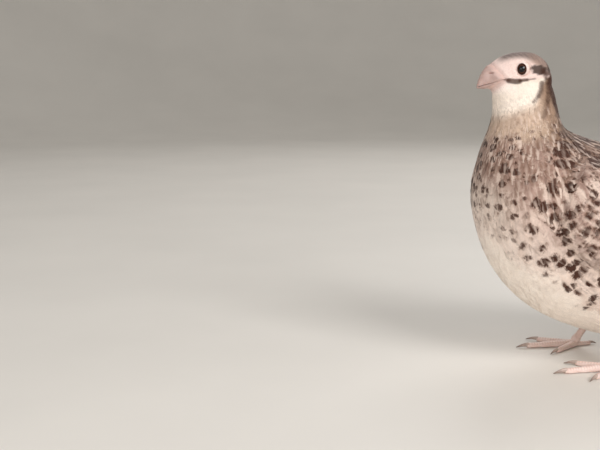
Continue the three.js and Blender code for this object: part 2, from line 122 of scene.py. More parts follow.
class QuailSizes(bpy.types.PropertyGroup):
    coat_depth: length("Coat depth", "How far the skin lies inside the outline on the body", 1.45)
    face_depth: length("Face coat depth", "How far the skin lies inside the outline on the head", 0.55)
    skin_grain: length("Skin grain", "Edge of the skin's mesh", 0.75)
    eye_radius: length("Eye radius", "Radius of the eyeball", 3.5)
    lid_opening: length("Lid opening", "Half the height of the gap between the lids", 2.4)
    lid_width: length("Lid width", "Half the width of the gap between the lids", 1.9)
    face_feather: length("Face feather", "Length of the feathers on the face", 2.2)
    neck_feather: length("Neck feather", "Length of the feathers on the neck", 7.0)
    breast_feather: length("Breast feather", "Length of the feathers on the breast", 12.5)
    flank_feather: length("Flank feather", "Length of the feathers on the flank", 21.0)
    back_feather: length("Back feather", "Length of the feathers on the back", 14.0)
    belly_feather: length("Belly feather", "Length of the downy feathers on the belly", 13.0)
    scute_pitch: length("Scute pitch", "Length of one plate on a shank or toe", 1.5)
    seed: bpy.props.IntProperty(name="Seed", description="Seed of every random draw", default=11, min=0)


class QuailColours(bpy.types.PropertyGroup):
    mantle: colour("Mantle", "Back, breast and flank feathers", "#AF9286")
    belly: colour("Belly", "Downy feathers of the belly", "#FCEFE2")
    throat: colour("Throat", "Throat patch", "#EFE0D2")
    collar: colour("Collar", "Base of the neck", "#C1A792")
    face: colour("Face", "Lores, brow and cheek", "#ECD3CA")
    streak: colour("Streak", "Streak along each shaft", "#DEC8BA")
    blotch: colour("Blotch", "Dark spots and streaks", "#3A1A0A")
    crown: colour("Crown", "Crown, ear patch and nape", "#42322B")
    bill: colour("Bill", "Horn of the bill", "#AE9189")
    iris: colour("Iris", "Iris of the eye", "#3A1D10")
    leg: colour("Leg", "Scales of legs and toes", "#E8D6CE")
    claw: colour("Claw", "Horn of the claws", "#B8A398")
    floor: colour("Floor", "The plain floor", "#D9D3CC")


# Shapes


def ramp(low, high, value):
    """0 below low, 1 above high and smooth between, also with low above high."""
    share = np.clip((value - low) / (high - low), 0, 1)
    return share * share * (3 - 2 * share)


def unit(vectors):
    return vectors / np.maximum(np.linalg.norm(vectors, axis=-1, keepdims=True), 1e-9)


def spline(points, share):
    """A centripetal Catmull-Rom curve through points, at shares from 0 to 1."""
    points = np.asarray(points, float).reshape(len(points), -1)
    more = np.vstack([2 * points[0] - points[1], points, 2 * points[-1] - points[-2]])
    place = np.clip(np.asarray(share, float), 0, 1) * (len(points) - 1)
    first = np.minimum(place.astype(int), len(points) - 2)
    w = (place - first)[..., None]
    p = [more[first + k] for k in range(4)]
    a, b, c = (np.maximum(np.sqrt(np.linalg.norm(p[k + 1] - p[k], axis=-1, keepdims=True)), 1e-4) for k in range(3))
    out = ((p[1] - p[0]) / a - (p[2] - p[0]) / (a + b) + (p[2] - p[1]) / b) * b
    into = ((p[2] - p[1]) / b - (p[3] - p[1]) / (b + c) + (p[3] - p[2]) / c) * b
    rise = p[2] - p[1]
    return p[1] + out * w + (3 * rise - 2 * out - into) * w**2 + (out + into - 2 * rise) * w**3


def arc_length(points):
    """Distance from the first point of a line to each of its points."""
    return np.concatenate([[0], np.cumsum(np.linalg.norm(np.diff(points, axis=0), axis=1))])


def floats(*values):
    """Numbers and arrays as float arrays of one shape."""
    return np.broadcast_arrays(*(np.asarray(value, float) for value in values))


class Form:
    """A smooth form through stations. Along runs from 0 to 1, and the angle from the top by the left side."""

    def __init__(self, stations, fullness=1.0, matrix=Matrix()):
        self.top = [(0, -top[0], top[1]) for top, _, _ in stations]
        self.bottom = [(0, -bottom[0], bottom[1]) for _, bottom, _ in stations]
        self.half = [half for _, _, half in stations]
        self.fullness = fullness
        self.matrix = np.array(matrix)

    def bare(self, along, angle):
        high, low = spline(self.top, along), spline(self.bottom, along)
        up, side = np.cos(angle)[..., None], np.sin(angle)
        middle = (high + low) / 2
        spot = middle + np.where(up > 0, high - middle, low - middle) * np.abs(up)
        half = spline(self.half, along)[..., 0]
        spot[..., 0] += half * np.sign(side) * np.abs(side) ** self.fullness
        return spot @ self.matrix[:3, :3].T + self.matrix[:3, 3]

    def normal(self, along, angle):
        step = 1e-3
        forward = self.bare(np.minimum(along + step, 1), angle) - self.bare(np.maximum(along - step, 0), angle)
        around = self.bare(along, angle + step) - self.bare(along, angle - step)
        return unit(np.cross(forward, around))

    def point(self, along, angle, lift=0.0):
        along, angle = floats(along, angle)
        return self.bare(along, angle) + self.normal(along, angle) * np.asarray(lift)[..., None]

    def lie(self, along, angle):
        """The way feathers lie: back from the bill to the tail."""
        return unit(self.bare(np.maximum(along - 2e-3, 0), angle) - self.bare(along, angle))


BODY_FORM = Form(BODY, 0.92)
HEAD_FORM = Form(HEAD, 0.95, HEAD_MATRIX)


def thigh_form(side):
    return Form(THIGH, matrix=Matrix.Translation((side * THIGH_OUT, 0, 0)))


# The folded wing is measured as s, back from its bend, and r, down from its axis.
WING_ANGLE = math.radians(74)
WING_FRONT, WING_LENGTH, WING_HALF_DEPTH, WING_THICKNESS = 0.575, 92, 23, 4.2
WING_START, WING_ROUNDING = -3, 28  # s of its foremost point, and how far back from there it has its full depth
WING_NARROWING, WING_TIP = 28, 96  # s behind which it narrows, and where its edges would meet
FORM_LENGTH = 190  # what the whole of along would measure at its rate ahead of the bend
WING_ALONG = np.arange(WING_FRONT, 0.01, -0.005)
WING_ARC = arc_length(BODY_FORM.point(WING_ALONG, WING_ANGLE))


def on_flank(side, s, r, lift):
    """The place on the flank at s and r."""
    s, r, lift = floats(s, r, lift)
    along = np.interp(s, WING_ARC, WING_ALONG)
    top, bottom = BODY_FORM.point(along, 0.0), BODY_FORM.point(along, math.pi)
    radius = (np.linalg.norm(top - bottom, axis=-1) / 2 + BODY_FORM.point(along, math.pi / 2)[..., 0]) / 2
    spot = BODY_FORM.point(along, WING_ANGLE + r / radius, lift)
    spot[..., 0] *= side
    return spot


def on_pad(along, angle):
    """The other way: s and r of a place on the body's form."""
    radius = (BODY_FORM.point(along, 0.0)[..., 2] - BODY_FORM.point(along, math.pi)[..., 2]) / 2
    radius = (radius + BODY_FORM.point(along, math.pi / 2)[..., 0]) / 2
    ahead = np.maximum(along - WING_FRONT, 0) * FORM_LENGTH
    return np.interp(along, WING_ALONG[::-1], WING_ARC[::-1]) - ahead, (angle - WING_ANGLE) * radius


def wing_edge(r):
    """s of the wing's rounded front edge."""
    return WING_ROUNDING * (1 - np.sqrt(1 - np.clip(r / WING_HALF_DEPTH, -1, 1) ** 2)) + WING_START


def wing_depth(s):
    """How far the wing reaches above and below its axis."""
    front = np.sqrt(1 - (1 - np.clip((s - WING_START) / WING_ROUNDING, 0, 1)) ** 2)
    back = np.sqrt(1 - np.clip((s - WING_NARROWING) / (WING_TIP - WING_NARROWING), 0, 1) ** 2)
    return WING_HALF_DEPTH * front * back


def wing_height(s, r, fullness=0.5):
    """How far the wing stands out from the body; a lower fullness gives it a steeper rim."""
    edge = np.clip(np.abs(r) / np.maximum(wing_depth(s), 0.1), 0, 1)
    front = np.sqrt(np.clip((s + 2) / 14, 0, 1))
    thin = 1 - 0.8 * ramp(0, WING_LENGTH, s)
    return 0.8 + (WING_THICKNESS - 0.5) * (1 - edge**2) ** fullness * thin * front


def to_frame(points):
    """Millimetres in the bird's measure to metres in the frame."""
    return (np.asarray(points, float) + (0, FORWARD_SHIFT, 0)) / 1000


def from_frame(points):
    return np.asarray(points, float) * 1000 - (0, FORWARD_SHIFT, 0)


def placed(points, matrix):
    matrix = np.array(matrix)
    return points @ matrix[:3, :3].T + matrix[:3, 3]


def in_head(points):
    """Forward, height and distance from the midline in the head's own measure."""
    spots = placed(points, HEAD_INVERSE)
    return -spots[..., 1], spots[..., 2], spots[..., 0]


def from_eye(ahead, up):
    """Distance from the eye's middle, seen from the side."""
    return np.hypot(ahead + EYE_PLACE[1], up)


# Markings, which the skin and the coat share

# Dark streaks on each side of the head as (forward, height) in the head's measure, half width and strength.
FACE_STREAKS = (
    ([(6.8, -3.5), (4.4, -4.2)], 0.4, 0.7),
    ([(4.6, -4.3), (1.9, -4.9), (0.4, -4.9)], 1.0, 0.86),
    ([(0.2, -4.7), (-2.9, -4.6)], 0.5, 0.85),
    ([(-2.9, -4.6), (-6.4, -4.4)], 0.2, 0.7),
    ([(-9.3, -6.6), (-8.8, -9.4), (-7.2, -11.8)], 0.95, 0.8),
    ([(-6.2, -12.8), (-4.6, -14.2)], 0.5, 0.7),
    ([(-11.8, -3.4), (-13.0, -7.2)], 1.6, 0.85),
    ([(-12.6, -8.6), (-12.2, -10.6)], 1.15, 0.75),
    ([(-12.2, -12.2), (-11.4, -14.0)], 1.1, 0.7),
    ([(-11.0, -15.6), (-10.0, -17.2)], 1.05, 0.65),
    ([(-9.4, -18.6), (-8.0, -20.8)], 0.95, 0.55),
    ([(-15.2, -6.5), (-16.6, -15)], 2.9, 0.95),
    ([(-16.6, -15), (-17.4, -20)], 2.6, 0.75),
    ([(-17.4, -20), (-18.4, -27)], 2.2, 0.5),
)


def near_line(u, v, line):
    """Distance from (u, v) to a line of points."""
    best = np.full(np.shape(u), 1e9)
    for (au, av), (bu, bv) in zip(line, line[1:]):
        du, dv = bu - au, bv - av
        share = np.clip(((u - au) * du + (v - av) * dv) / (du * du + dv * dv), 0, 1)
        best = np.minimum(best, np.hypot(u - au - share * du, v - av - share * dv))
    return best


def belly_line(forward):
    """Height below which the flank turns to unmarked cream."""
    front = 18.2 + 0.58 * forward + 0.007 * np.maximum(forward - 35, 0) ** 2
    rear = 21.1 + 0.45 * np.maximum(-forward - 20, 0)
    return np.where(forward > 5, front, rear)


def belly_share(points):
    forward, height = -points[..., 1], points[..., 2]
    wander = 3.5 * np.sin(0.31 * forward + 0.4 * points[..., 0]) * np.sin(0.23 * height + 0.17 * points[..., 0])
    return ramp(-9, 5, belly_line(forward) + wander - height)


def mark_shares(points):
    """How large the dark marks grow: specks on the breast, blotches on the flank, dashes on the shoulder."""
    forward, height = -points[..., 1], points[..., 2]
    clear = ramp(0.85, 0.35, belly_share(points)) * ramp(107, 101, height + 1.5 * np.sin(0.7 * points[..., 0]))
    near = np.maximum(ramp(-10, 8, forward), ramp(54, 46, height))
    behind = ramp(51, 47, forward + 0.1 * (height - 60)) * ramp(95, 87, height)
    shoulder = ramp(84, 91, height) * ramp(44, 37, forward)
    return {
        "Specks": clear * (1 - behind) * (1 - shoulder) * (0.5 + 0.5 * ramp(4, 24, height - belly_line(forward))),
        "Blotches": clear * near * behind * (1 - shoulder),
        "Dashes": clear * near * shoulder,
    }


def speckle(points, size, phase=0.0):
    """A cheap smooth variation between 0 and 1."""
    x, y, z = (points[..., i] / size for i in range(3))
    return 0.5 + 0.25 * (np.sin(2.1 * x + 1.3 * z + phase) + np.sin(1.7 * y - 1.1 * z + 2.3 * phase))


def layered(tone, layers):
    """A colour under layers of paint, each given as its colour and how much of it shows."""
    for paint, share in layers:
        tone = tone + (np.asarray(paint) - tone) * share[..., None]
    return tone


def ground_colour(points, colours):
    """The coat's colour before each feather's own pattern, with the head's marks in it."""
    mantle, blotch, crown = (colours[name] for name in ("mantle", "blotch", "crown"))
    forward, height = -points[..., 1], points[..., 2]
    ahead, up, side = in_head(points)
    above_belly = height - belly_line(forward)
    upper_breast = ramp(76, 90, height) * ramp(106, 99, height) * ramp(20, 34, forward)
    on_neck = ramp(97, 105, height + 1.5 * np.sin(0.9 * side)) * ramp(18, 30, forward)
    body = (
        (np.array(mantle) * 0.78, ramp(0.35, 0.95, speckle(points, 6.0)) * 0.8),
        (linear("#D6C7B8"), ramp(46, 62, forward) * ramp(90, 72, height) * 0.8),
        (linear("#86685A"), upper_breast * (0.45 + 0.45 * ramp(0.3, 0.75, speckle(points, 2.6, 1.0)))),
        (linear("#F0DED2"), ramp(34, 4, above_belly) * ramp(88, 76, height) * 0.85),
        (colours["belly"], belly_share(points)),
        (colours["collar"], on_neck * 0.9),
        (linear("#8A6D58"), ramp(-6.5, -11, ahead) * ramp(-38, -28, up) * 0.85),
    )
    # The cream throat ends in a soft border, then runs out over the collar.
    throat = ramp(-0.4, 2.0, ahead + 7.4 + (up + 12) * 0.5 + 0.9) * ramp(-21, -15, up + 0.25 * ahead - 1.0)
    face = ramp(-5.4, -3.8, up)
    by_bill = near_line(ahead, up, BILL_ROOT)
    brow = face * ramp(1.2, 2.6, up + 0.45 * np.maximum(-ahead - 6, 0))
    ear = np.hypot((ahead + 8.4 + 0.25 * (up + 0.9)) / 3.7, (up + 0.9 - 0.22 * (ahead + 8.6)) / 2.15)
    ear = ear + 0.12 * np.sin(2.3 * up + 1.7 * ahead)
    cap_edge = 5.2 - 0.035 * (ahead - 1) ** 2 + np.minimum(ahead + 6, 0) * 0.1
    cap = ramp(-1.7, 1.2, up - cap_edge) * ramp(9.5, 4.5, ahead)
    stripe = ramp(0.4, 1.1, np.abs(side)) * (0.88 + 0.12 * np.sin(ahead * 3.1 + 1.7 * side))
    # Down the hindneck a pale line between two dark, flecked bands.
    bands = ramp(-12.4, -14.2, ahead + 0.5 * np.sin(1.3 * up) - 0.1 * (up + 10)) * ramp(3.5, 1.5, up)
    bands = bands * ramp(-30, -16, up) * ramp(0.6, 1.5, np.abs(side))
    fleck = ramp(0.15, 0.6, 0.5 + 0.5 * np.sin(1.5 * up + 2.2 * np.abs(side)) * np.sin(1.1 * up - 1.4 * ahead))
    head = [
        (colours["throat"], throat),
        (linear("#FAEBE2"), throat * ramp(-11, -6, up) * ramp(0, 4, ahead) * 0.8),
        (colours["face"], face),
        (linear("#E6CFC7"), ramp(3.5, 0.0, by_bill) * 0.8),
        (linear("#CDAEA5"), ramp(1.7, 0.0, by_bill) * 0.75),
        (linear("#B09384"), brow * ramp(-2, -8, ahead) * 0.85),
        (crown, ramp(1.2, 0.8, ear) * 0.95),
        (blotch, ramp(2.6, 0.6, np.hypot(ahead + 10.4, up + 1.7)) * 0.85),
        (crown, cap * (0.3 + 0.55 * stripe) * (1 - 0.4 * ramp(-3, -9, ahead))),
        (crown, bands * (0.5 + 0.48 * fleck)),
    ]
    worn = ramp(0.3, 0.8, 0.5 + 0.5 * np.sin(2.4 * up + 1.1 * ahead) * np.sin(1.6 * ahead - 0.7 * up))
    for line, half_width, strength in FACE_STREAKS:
        share = ramp(half_width + 0.5, half_width - 0.25, near_line(ahead, up, line)) * strength
        head.append((blotch, share * (1 - 0.4 * ramp(-10, -12, ahead) * worn)))
    on_back = ramp(-0.1, 0.35, (height - 84) / 30 + (34 - forward) / 60 - 0.35) * ramp(108, 100, height)
    tone = layered(np.ones(points.shape) * mantle, body) * (1 - np.array([0.26, 0.29, 0.35]) * on_back[..., None])
    return np.clip(layered(tone, head), 0, 1)


# Mesh and material helpers


def settings():
    """The sizes in millimetres and the colours, as plain values, and the seed."""
    scene = bpy.context.scene
    sizes = {name: getattr(scene.quail_sizes, name) * 1000 for name in QuailSizes.__annotations__ if name != "seed"}
    colours = {name: tuple(getattr(scene.quail_colours, name)) for name in QuailColours.__annotations__}
    return sizes, colours, scene.quail_sizes.seed


def deselect():
    if bpy.context.object and bpy.context.object.mode != "OBJECT":
        bpy.ops.object.mode_set(mode="OBJECT")
    bpy.ops.object.select_all(action="DESELECT")


def pick(*pieces):
    deselect()
    for piece in pieces:
        piece.select_set(True)
    bpy.context.view_layer.objects.active = pieces[0]


def smooth(piece):
    pick(piece)
    bpy.ops.object.shade_smooth()


# Steps that several pieces share.
SELECT_ALL = (bpy.ops.mesh.select_all, {"action": "SELECT"})
FACE_OUT = (bpy.ops.mesh.normals_make_consistent, {"inside": False})
MERGE = (bpy.ops.mesh.remove_doubles, {"threshold": 1e-7})


def edit(piece, *steps):
    """Runs mesh operators on the whole of a piece in edit mode, each as (operator, settings)."""
    pick(piece)
    bpy.ops.object.mode_set(mode="EDIT")
    for step, options in (SELECT_ALL, *steps):
        step(**options)
    bpy.ops.object.mode_set(mode="OBJECT")


def modify(piece, kind, **options):
    pick(piece)
    modifier = piece.modifiers.new(kind.title(), kind)
    for name, value in options.items():
        setattr(modifier, name, value)
    bpy.ops.object.modifier_apply(modifier=modifier.name)


def coordinates(mesh):
    spots = np.empty(len(mesh.vertices) * 3)
    mesh.vertices.foreach_get("co", spots)
    return spots.reshape(-1, 3)


def move_to(piece, spots):
    """Moves a piece's vertices to places in millimetres."""
    piece.data.vertices.foreach_set("co", to_frame(spots).ravel())
    piece.data.update()


def loft(name, rings):
    """A closed form through rings of points in millimetres: a grid is rolled up, sewn and its ends filled."""
    rings = np.asarray(rings, float)
    rows, columns = rings.shape[:2]
    deselect()
    bpy.ops.mesh.primitive_grid_add(x_subdivisions=columns, y_subdivisions=rows - 1, size=2)
    piece = bpy.context.object
    piece.name = piece.data.name = name
    grid = coordinates(piece.data)
    column = np.rint((grid[:, 0] + 1) / 2 * columns).astype(int) % columns
    row = np.rint((grid[:, 1] + 1) / 2 * (rows - 1)).astype(int)
    move_to(piece, rings[row, column])
    open_ends = (bpy.ops.mesh.select_non_manifold, {"extend": False})
    edit(piece, MERGE, open_ends, (bpy.ops.mesh.fill_holes, {"sides": 0}), SELECT_ALL, FACE_OUT)
    smooth(piece)
    return piece


def form_rings(form, first, last, rows, columns, lift):
    along = np.linspace(first, last, rows)[:, None]
    angle = np.linspace(0, 2 * math.pi, columns, endpoint=False)[None, :]
    return form.point(*floats(along, angle, lift))


def store(mesh, name, values):
    """Writes a value or a colour for each vertex as an attribute."""
    values = np.asarray(values, np.float32)
    kind, field = ("FLOAT", "value") if values.ndim == 1 else ("FLOAT_COLOR", "color")
    if values.ndim == 2:
        values = np.hstack([values, np.ones((len(values), 1), np.float32)])
    mesh.attributes.new(name, kind, "POINT").data.foreach_set(field, values.ravel())


def nearest(spots):
    """A search tree over places."""
    tree = KDTree(len(spots))
    for i, spot in enumerate(spots):
        tree.insert(spot, i)
    tree.balance()
    return tree


def settle(piece, material, slot, *nodes):
    """Gives a finished piece its material, the body it rides on and the nodes it stands for. Its slot is not used."""
    piece.data.materials.clear()
    piece.data.materials.append(material)
    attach(piece, "root")
    if nodes:
        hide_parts(*nodes)


def add_node(tree, kind, *values, **options):
    """Adds a node. Values fill its live inputs in order; an option is an input by name, or a setting of the node.

    A value may be a number, a colour, a socket, or a node, which links its first live output."""
    node = tree.nodes.new("ShaderNode" + kind)
    inputs = {name: options.pop(name) for name in list(options) if name in node.inputs}
    for name, value in options.items():
        setattr(node, name, value)
    live = [socket for socket in node.inputs if socket.enabled]
    for socket, value in [*zip(live, values), *((node.inputs[name], value) for name, value in inputs.items())]:
        if isinstance(value, bpy.types.Node):
            value = next(output for output in value.outputs if output.enabled)
        if isinstance(value, bpy.types.NodeSocket):
            tree.links.new(value, socket)
        elif socket.type == "RGBA":
            socket.default_value = (*value[:3], 1.0)
        else:
            socket.default_value = value
    return node


def new_material(name, *labels):
    """A new material, what adds its nodes, its object coordinates, and the attributes that it reads as numbers."""
    material = bpy.data.materials.new(name)
    material.use_nodes = True
    add = partial(add_node, material.node_tree)
    attributes = (add("Attribute", attribute_name=label).outputs["Fac"] for label in labels)
    return material, add, add("TexCoord").outputs["Object"], *attributes


def finish_material(material, tone, relief=None, **values):
    """Links a material's colour and relief to its shader, and sets what is alike all over on the shader itself."""
    surface = material.node_tree.nodes["Principled BSDF"]
    material.node_tree.links.new(tone.outputs[2], surface.inputs["Base Color"])
    if relief:
        material.node_tree.links.new(relief.outputs[0], surface.inputs["Normal"])
    for name, value in values.items():
        surface.inputs[name.replace("_", " ")].default_value = value
    return material


# Materials

TIMES, PLUS, MINUS, OVER = ({"operation": name} for name in ("MULTIPLY", "ADD", "SUBTRACT", "DIVIDE"))
TIMES_PLUS = {"operation": "MULTIPLY_ADD"}
SOFT = {"interpolation_type": "SMOOTHSTEP"}
BLEND, SHADE = {"data_type": "RGBA"}, {"data_type": "RGBA", "blend_type": "MULTIPLY"}
HALO, BROWN = linear("#7E6050"), linear("#6E5242")
GREY = (0.5, 0.5, 0.5)  # the middle of a noise's colour

# What each feather carries of its pattern, and the attribute that holds it.
PATTERN = {
    "shade": "Shade", "bars": "Bars", "streak": "Streak", "dark": "Dark", "spot_left": "SpotLeft",
    "spot_right": "SpotRight", "spot_place": "SpotPlace", "spot_length": "SpotLength",
}

# Marks laid by place: where they show, turn about X so that one side of each cell follows the lie, the cells' sides
# in millimetres, how much of a cell the mark fills, and whether it is dark. Cells with two sides run right through
# the bird, sheared a little so that left and right differ.
MARKS = (
    ("Specks", -0.1, (4.6, 4.6, 14.0), 0.4, False),
    ("Blotches", -0.55, (5.8, 17.0), 0.46, False),
    ("Dashes", 0.15, (12.0, 14.0, 3.8), 0.34, False),
    ("Specks", 0.0, (4.3, 4.3, 3.6), 0.45, True),
    ("Blotches", -0.75, (7.6, 5.4), 0.36, True),
    ("Dashes", 0.15, (9.0, 8.5, 3.8), 0.62, True),
)


def marks_by_place(add, place, tone, colours):
    """Melanin marks, blackish brown in a paler halo, and long pale streaks, alike on the coat and the skin under it."""
    noise = add("TexNoise", place, 320, 2).outputs["Color"]
    centred = add("VectorMath", noise, GREY, **MINUS)
    moved = add("VectorMath", centred, (0.0034, 0.0034, 0.0034), place, **TIMES_PLUS)
    # Their edges fray along the barbs.
    fray = add("MapRange", add("TexNoise", place, 1500, 1), 0.3, 0.7, -0.06, 0.06)
    # Each layer of a mark: how far past its edge it starts and ends, its strength and its colour.
    dark_layers = ((0.17, -0.05, 0.5, HALO), (0.05, -0.1, 0.96, colours["blotch"]))
    pale_layers = ((0.02, -0.2, 0.65, colours["streak"]),)
    for label, turn, cell, fill, dark in MARKS:
        share = add("Attribute", attribute_name=label).outputs["Fac"]
        laid = add("VectorRotate", moved, Angle=turn, rotation_type="X_AXIS")
        if len(cell) == 2:
            split = add("SeparateXYZ", laid)
            along = add("Math", split, 0.3, split.outputs[1], **TIMES_PLUS)
            laid = add("CombineXYZ", along, split.outputs[2])
        scale = (*(1000 / side for side in cell), 0)[:3]
        laid = add("VectorMath", laid, scale, **TIMES)
        cells = add("TexVoronoi", laid, 1.0, Randomness=0.8, voronoi_dimensions=f"{len(cell)}D")
        # Some marks are smaller than others.
        chance = add("SeparateXYZ", cells.outputs["Color"])
        grown = add("MapRange", chance, 0.0, 1.0, 0.65 * fill, 1.15 * fill)
        gap = add("Math", cells, add("Math", grown, share, **TIMES), **MINUS)
        gap = add("Math", gap, fray, **PLUS)
        for outer, inner, strength, paint in dark_layers if dark else pale_layers:
            mark = add("MapRange", gap, outer, inner, 0.0, strength, **SOFT)
            tone = add("Mix", add("Math", mark, share, **TIMES), tone, paint, **BLEND)
    return tone


def mottled(add, tone, noise, dark, light):
    """A colour darkened and lightened by a noise."""
    return add("Mix", 1.0, tone, add("MapRange", noise, 0.3, 0.7, dark, light), **SHADE)


def skin_material(colours):
    """Living skin under feathers: thin, matt and finely pimpled, painted a little darker as the shade between feathers.
    """
    material, add, place, spots = new_material("Feathered skin", "Spots")
    tone = mottled(add, add("Attribute", attribute_name="Ground"), add("TexNoise", place, 300, 4), 0.82, 1.0)
    tone = marks_by_place(add, place, tone, colours)
    tone = add("Mix", spots, tone, colours["blotch"], **BLEND)
    # Follicles about 1.2 mm apart.
    pimples = add("TexVoronoi", place, 850)
    bump = add("Bump", Height=pimples, Strength=0.4, Distance=0.0003)
    return finish_material(material, tone, bump, Roughness=0.85, Specular_IOR_Level=0.25)


def feather_material(name, colours, roughness, barb_count, bar_count=0, fringe=0.0):
    """Feather keratin: matt, combed along its barbs, with a pale shaft streak and a pale, worn tip.

    Its own blotches and bars, drawn in the vane's measure, lie under the marks by place."""
    material, add, place, *shares = new_material(name, *PATTERN.values())
    carried = dict(zip(PATTERN, shares))
    vane = add("UVMap", uv_map="Vane")
    # Two readings of the vane's measure: lines waver as barbs part every millimetre, and smudges as a few barbs
    # together do.
    measures = []
    for scale, reach in ((900, (0.1, 0.05, 0)), (450, (0.2, 0.09, 0))):
        centred = add("VectorMath", add("TexNoise", place, scale, 2).outputs["Color"], GREY, **MINUS)
        split = add("SeparateXYZ", add("VectorMath", centred, reach, vane, **TIMES_PLUS))
        off = add("Math", add("Math", split, 0.5, **MINUS), operation="ABSOLUTE")
        measures.append((split.outputs[0], split.outputs[1], off))
    (_, y, across), (side, back, beside) = measures
    # Brown on the webs, in patches about 3 mm across.
    patch = add("MapRange", add("TexNoise", place, 330, 3), 0.38, 0.6)
    web = add("Math", add("MapRange", beside, 0.5, 0.3), patch, **TIMES)
    web = add("Math", web, carried["shade"], **TIMES)
    tone = add("Mix", web, add("Attribute", attribute_name="Ground"), BROWN, **BLEND)
    if bar_count:
        # Cross bars, which bend forward away from the shaft.
        bend = add("Math", beside, 5.0, **TIMES)
        wave = add("Math", add("Math", back, bar_count * 2 * math.pi, bend, **TIMES_PLUS), operation="SINE")
        broken = add("MapRange", patch, 0.0, 1.0, 0.55)
        wave = add("Math", add("MapRange", wave, -0.1, 0.5), broken, **TIMES)
        tone = add("Mix", add("Math", wave, carried["bars"], **TIMES), tone, linear("#4C3429"), **BLEND)
    # A blotch on each web, sized and darkened by what each feather carries: broad above, it draws out to a tail
    # along the shaft below, in a fainter brown halo.
    size = add("Mix", add("MapRange", side, 0.42, 0.58), carried["spot_left"], carried["spot_right"])
    run = add("Math", beside, -0.25, back, **TIMES_PLUS)
    run = add("Math", run, carried["spot_place"], **MINUS)
    run = add("Math", run, carried["spot_length"], **OVER)
    tail = add("MapRange", run, 0.0, 2.0)
    out = add("Math", beside, add("MapRange", tail, 0.0, 1.0, 0.23, 0.1), **MINUS)
    out = add("Math", out, add("MapRange", tail, 0.0, 1.0, 0.21, 0.09), **OVER)
    run = add("Math", run, add("MapRange", tail, 0.0, 1.0, 1.0, 0.5), **TIMES)
    reach = add("VectorMath", add("CombineXYZ", out, run), operation="LENGTH")
    reach = add("Math", reach, size, **OVER)
    tone = add("Mix", add("MapRange", reach, 2.0, 0.9, 0.0, 0.55, **SOFT), tone, HALO, **BLEND)
    blotch = add("Math", add("MapRange", reach, 1.3, 0.7, **SOFT), carried["dark"], **TIMES)
    tone = add("Mix", blotch, tone, colours["blotch"], **BLEND)
    tone = marks_by_place(add, place, tone, colours)
    # The pale streak along the shaft, drawn out to a point at the tip, and the paler edges of the webs.
    slim = add("Math", across, add("MapRange", y, 0.72, 1.0, 1.0, 0.12), **OVER)
    slim = add("MapRange", slim, 0.26, 0.02, **SOFT)
    slim = add("Math", slim, add("MapRange", across, 0.34, 0.47, 0.0, 0.45), operation="MAXIMUM")
    streak = add("Math", slim, add("MapRange", y, 0.4, 0.7), **TIMES)
    streak = add("Math", streak, carried["streak"], **TIMES)
    worn = add("MapRange", y, 0.84, 1.0, 0.0, fringe, **SOFT)
    for share in (streak, worn):
        tone = add("Mix", share, tone, colours["streak"], **BLEND)
    # Barbs run out and forward from the shaft.
    barbs = add("Math", add("Math", across, -0.55, y, **TIMES_PLUS), barb_count * 2 * math.pi, **TIMES)
    barbs = add("Math", barbs, operation="SINE")
    relief = add("Math", barbs, 0.25, add("TexNoise", place, 1400, 3), **TIMES_PLUS)
    # The colour follows the relief: a random tone, with painted shade between the barbs and painted light on them.
    tone = add("Mix", 1.0, tone, add("MapRange", relief, 0.2, 0.8, 0.88, 1.06), **SHADE)
    bump = add("Bump", Height=relief, Strength=0.35, Distance=0.00012)
    return finish_material(
        material, tone, bump, Roughness=roughness, Specular_IOR_Level=0.25, Sheen_Weight=0.12, Sheen_Roughness=0.5
    )


def bill_material(colours):
    """Beak horn: smooth keratin over bone, half gloss, with painted shade along the mouth and in the nostril slit."""
    material, add, place, depth, base = new_material("Beak horn", "Depth", "Base")
    cloud = add("MapRange", add("TexNoise", place, 420, 5), 0.3, 0.7, 0.0, 0.55)
    tone = add("Mix", cloud, colours["bill"], linear("#C9AEA6"), **BLEND)
    tone = add("Mix", base, tone, linear("#CFB0A6"), **BLEND)
    # Painted shade in the mouth's crease and the nostril slit.
    tone = add("Mix", depth, tone, linear("#94706A"), **BLEND)
    # Growth lines about 0.4 mm apart.
    lines = add("TexWave", place, 380, 3.0, 2, bands_direction="Y").outputs["Fac"]
    bump = add("Bump", Height=lines, Strength=0.12, Distance=0.0001)
    return finish_material(
        material, tone, bump, Roughness=0.42, Subsurface_Weight=0.15, Subsurface_Radius=(0.002, 0.001, 0.0007)
    )


def eye_material(colours):
    """A wet eyeball: a dark brown iris round a black pupil under a clear, very glossy cornea."""
    material, add, place, ring = new_material("Wet cornea", "Ring")
    iris = mottled(add, colours["iris"], add("TexNoise", place, 1800, 3), 0.6, 1.3)
    pupil = (0.002, 0.0015, 0.0015)
    tone = add("Mix", add("MapRange", ring, 0.36, 0.42), pupil, iris, **BLEND)
    tone = add("Mix", add("MapRange", ring, 0.66, 0.78), tone, linear("#120A07"), **BLEND)
    return finish_material(material, tone, Roughness=0.04, IOR=1.38)


def lid_material():
    """Bare eyelid skin: pinkish, darker at the rim, with painted shade in the fine folds round the eye."""
    material, add, place, rim = new_material("Eyelid skin", "Rim")
    folds = add("TexNoise", place, 1500, 4)
    tone = add("Mix", rim, linear("#E6CFC6"), linear("#6E5148"), **BLEND)
    bump = add("Bump", Height=folds, Strength=0.4, Distance=0.00012)
    # The folds' relief is painted into the colour as well: shade in the hollows, light on the ridges.
    return finish_material(material, mottled(add, tone, folds, 0.85, 1.05), bump, Roughness=0.55)


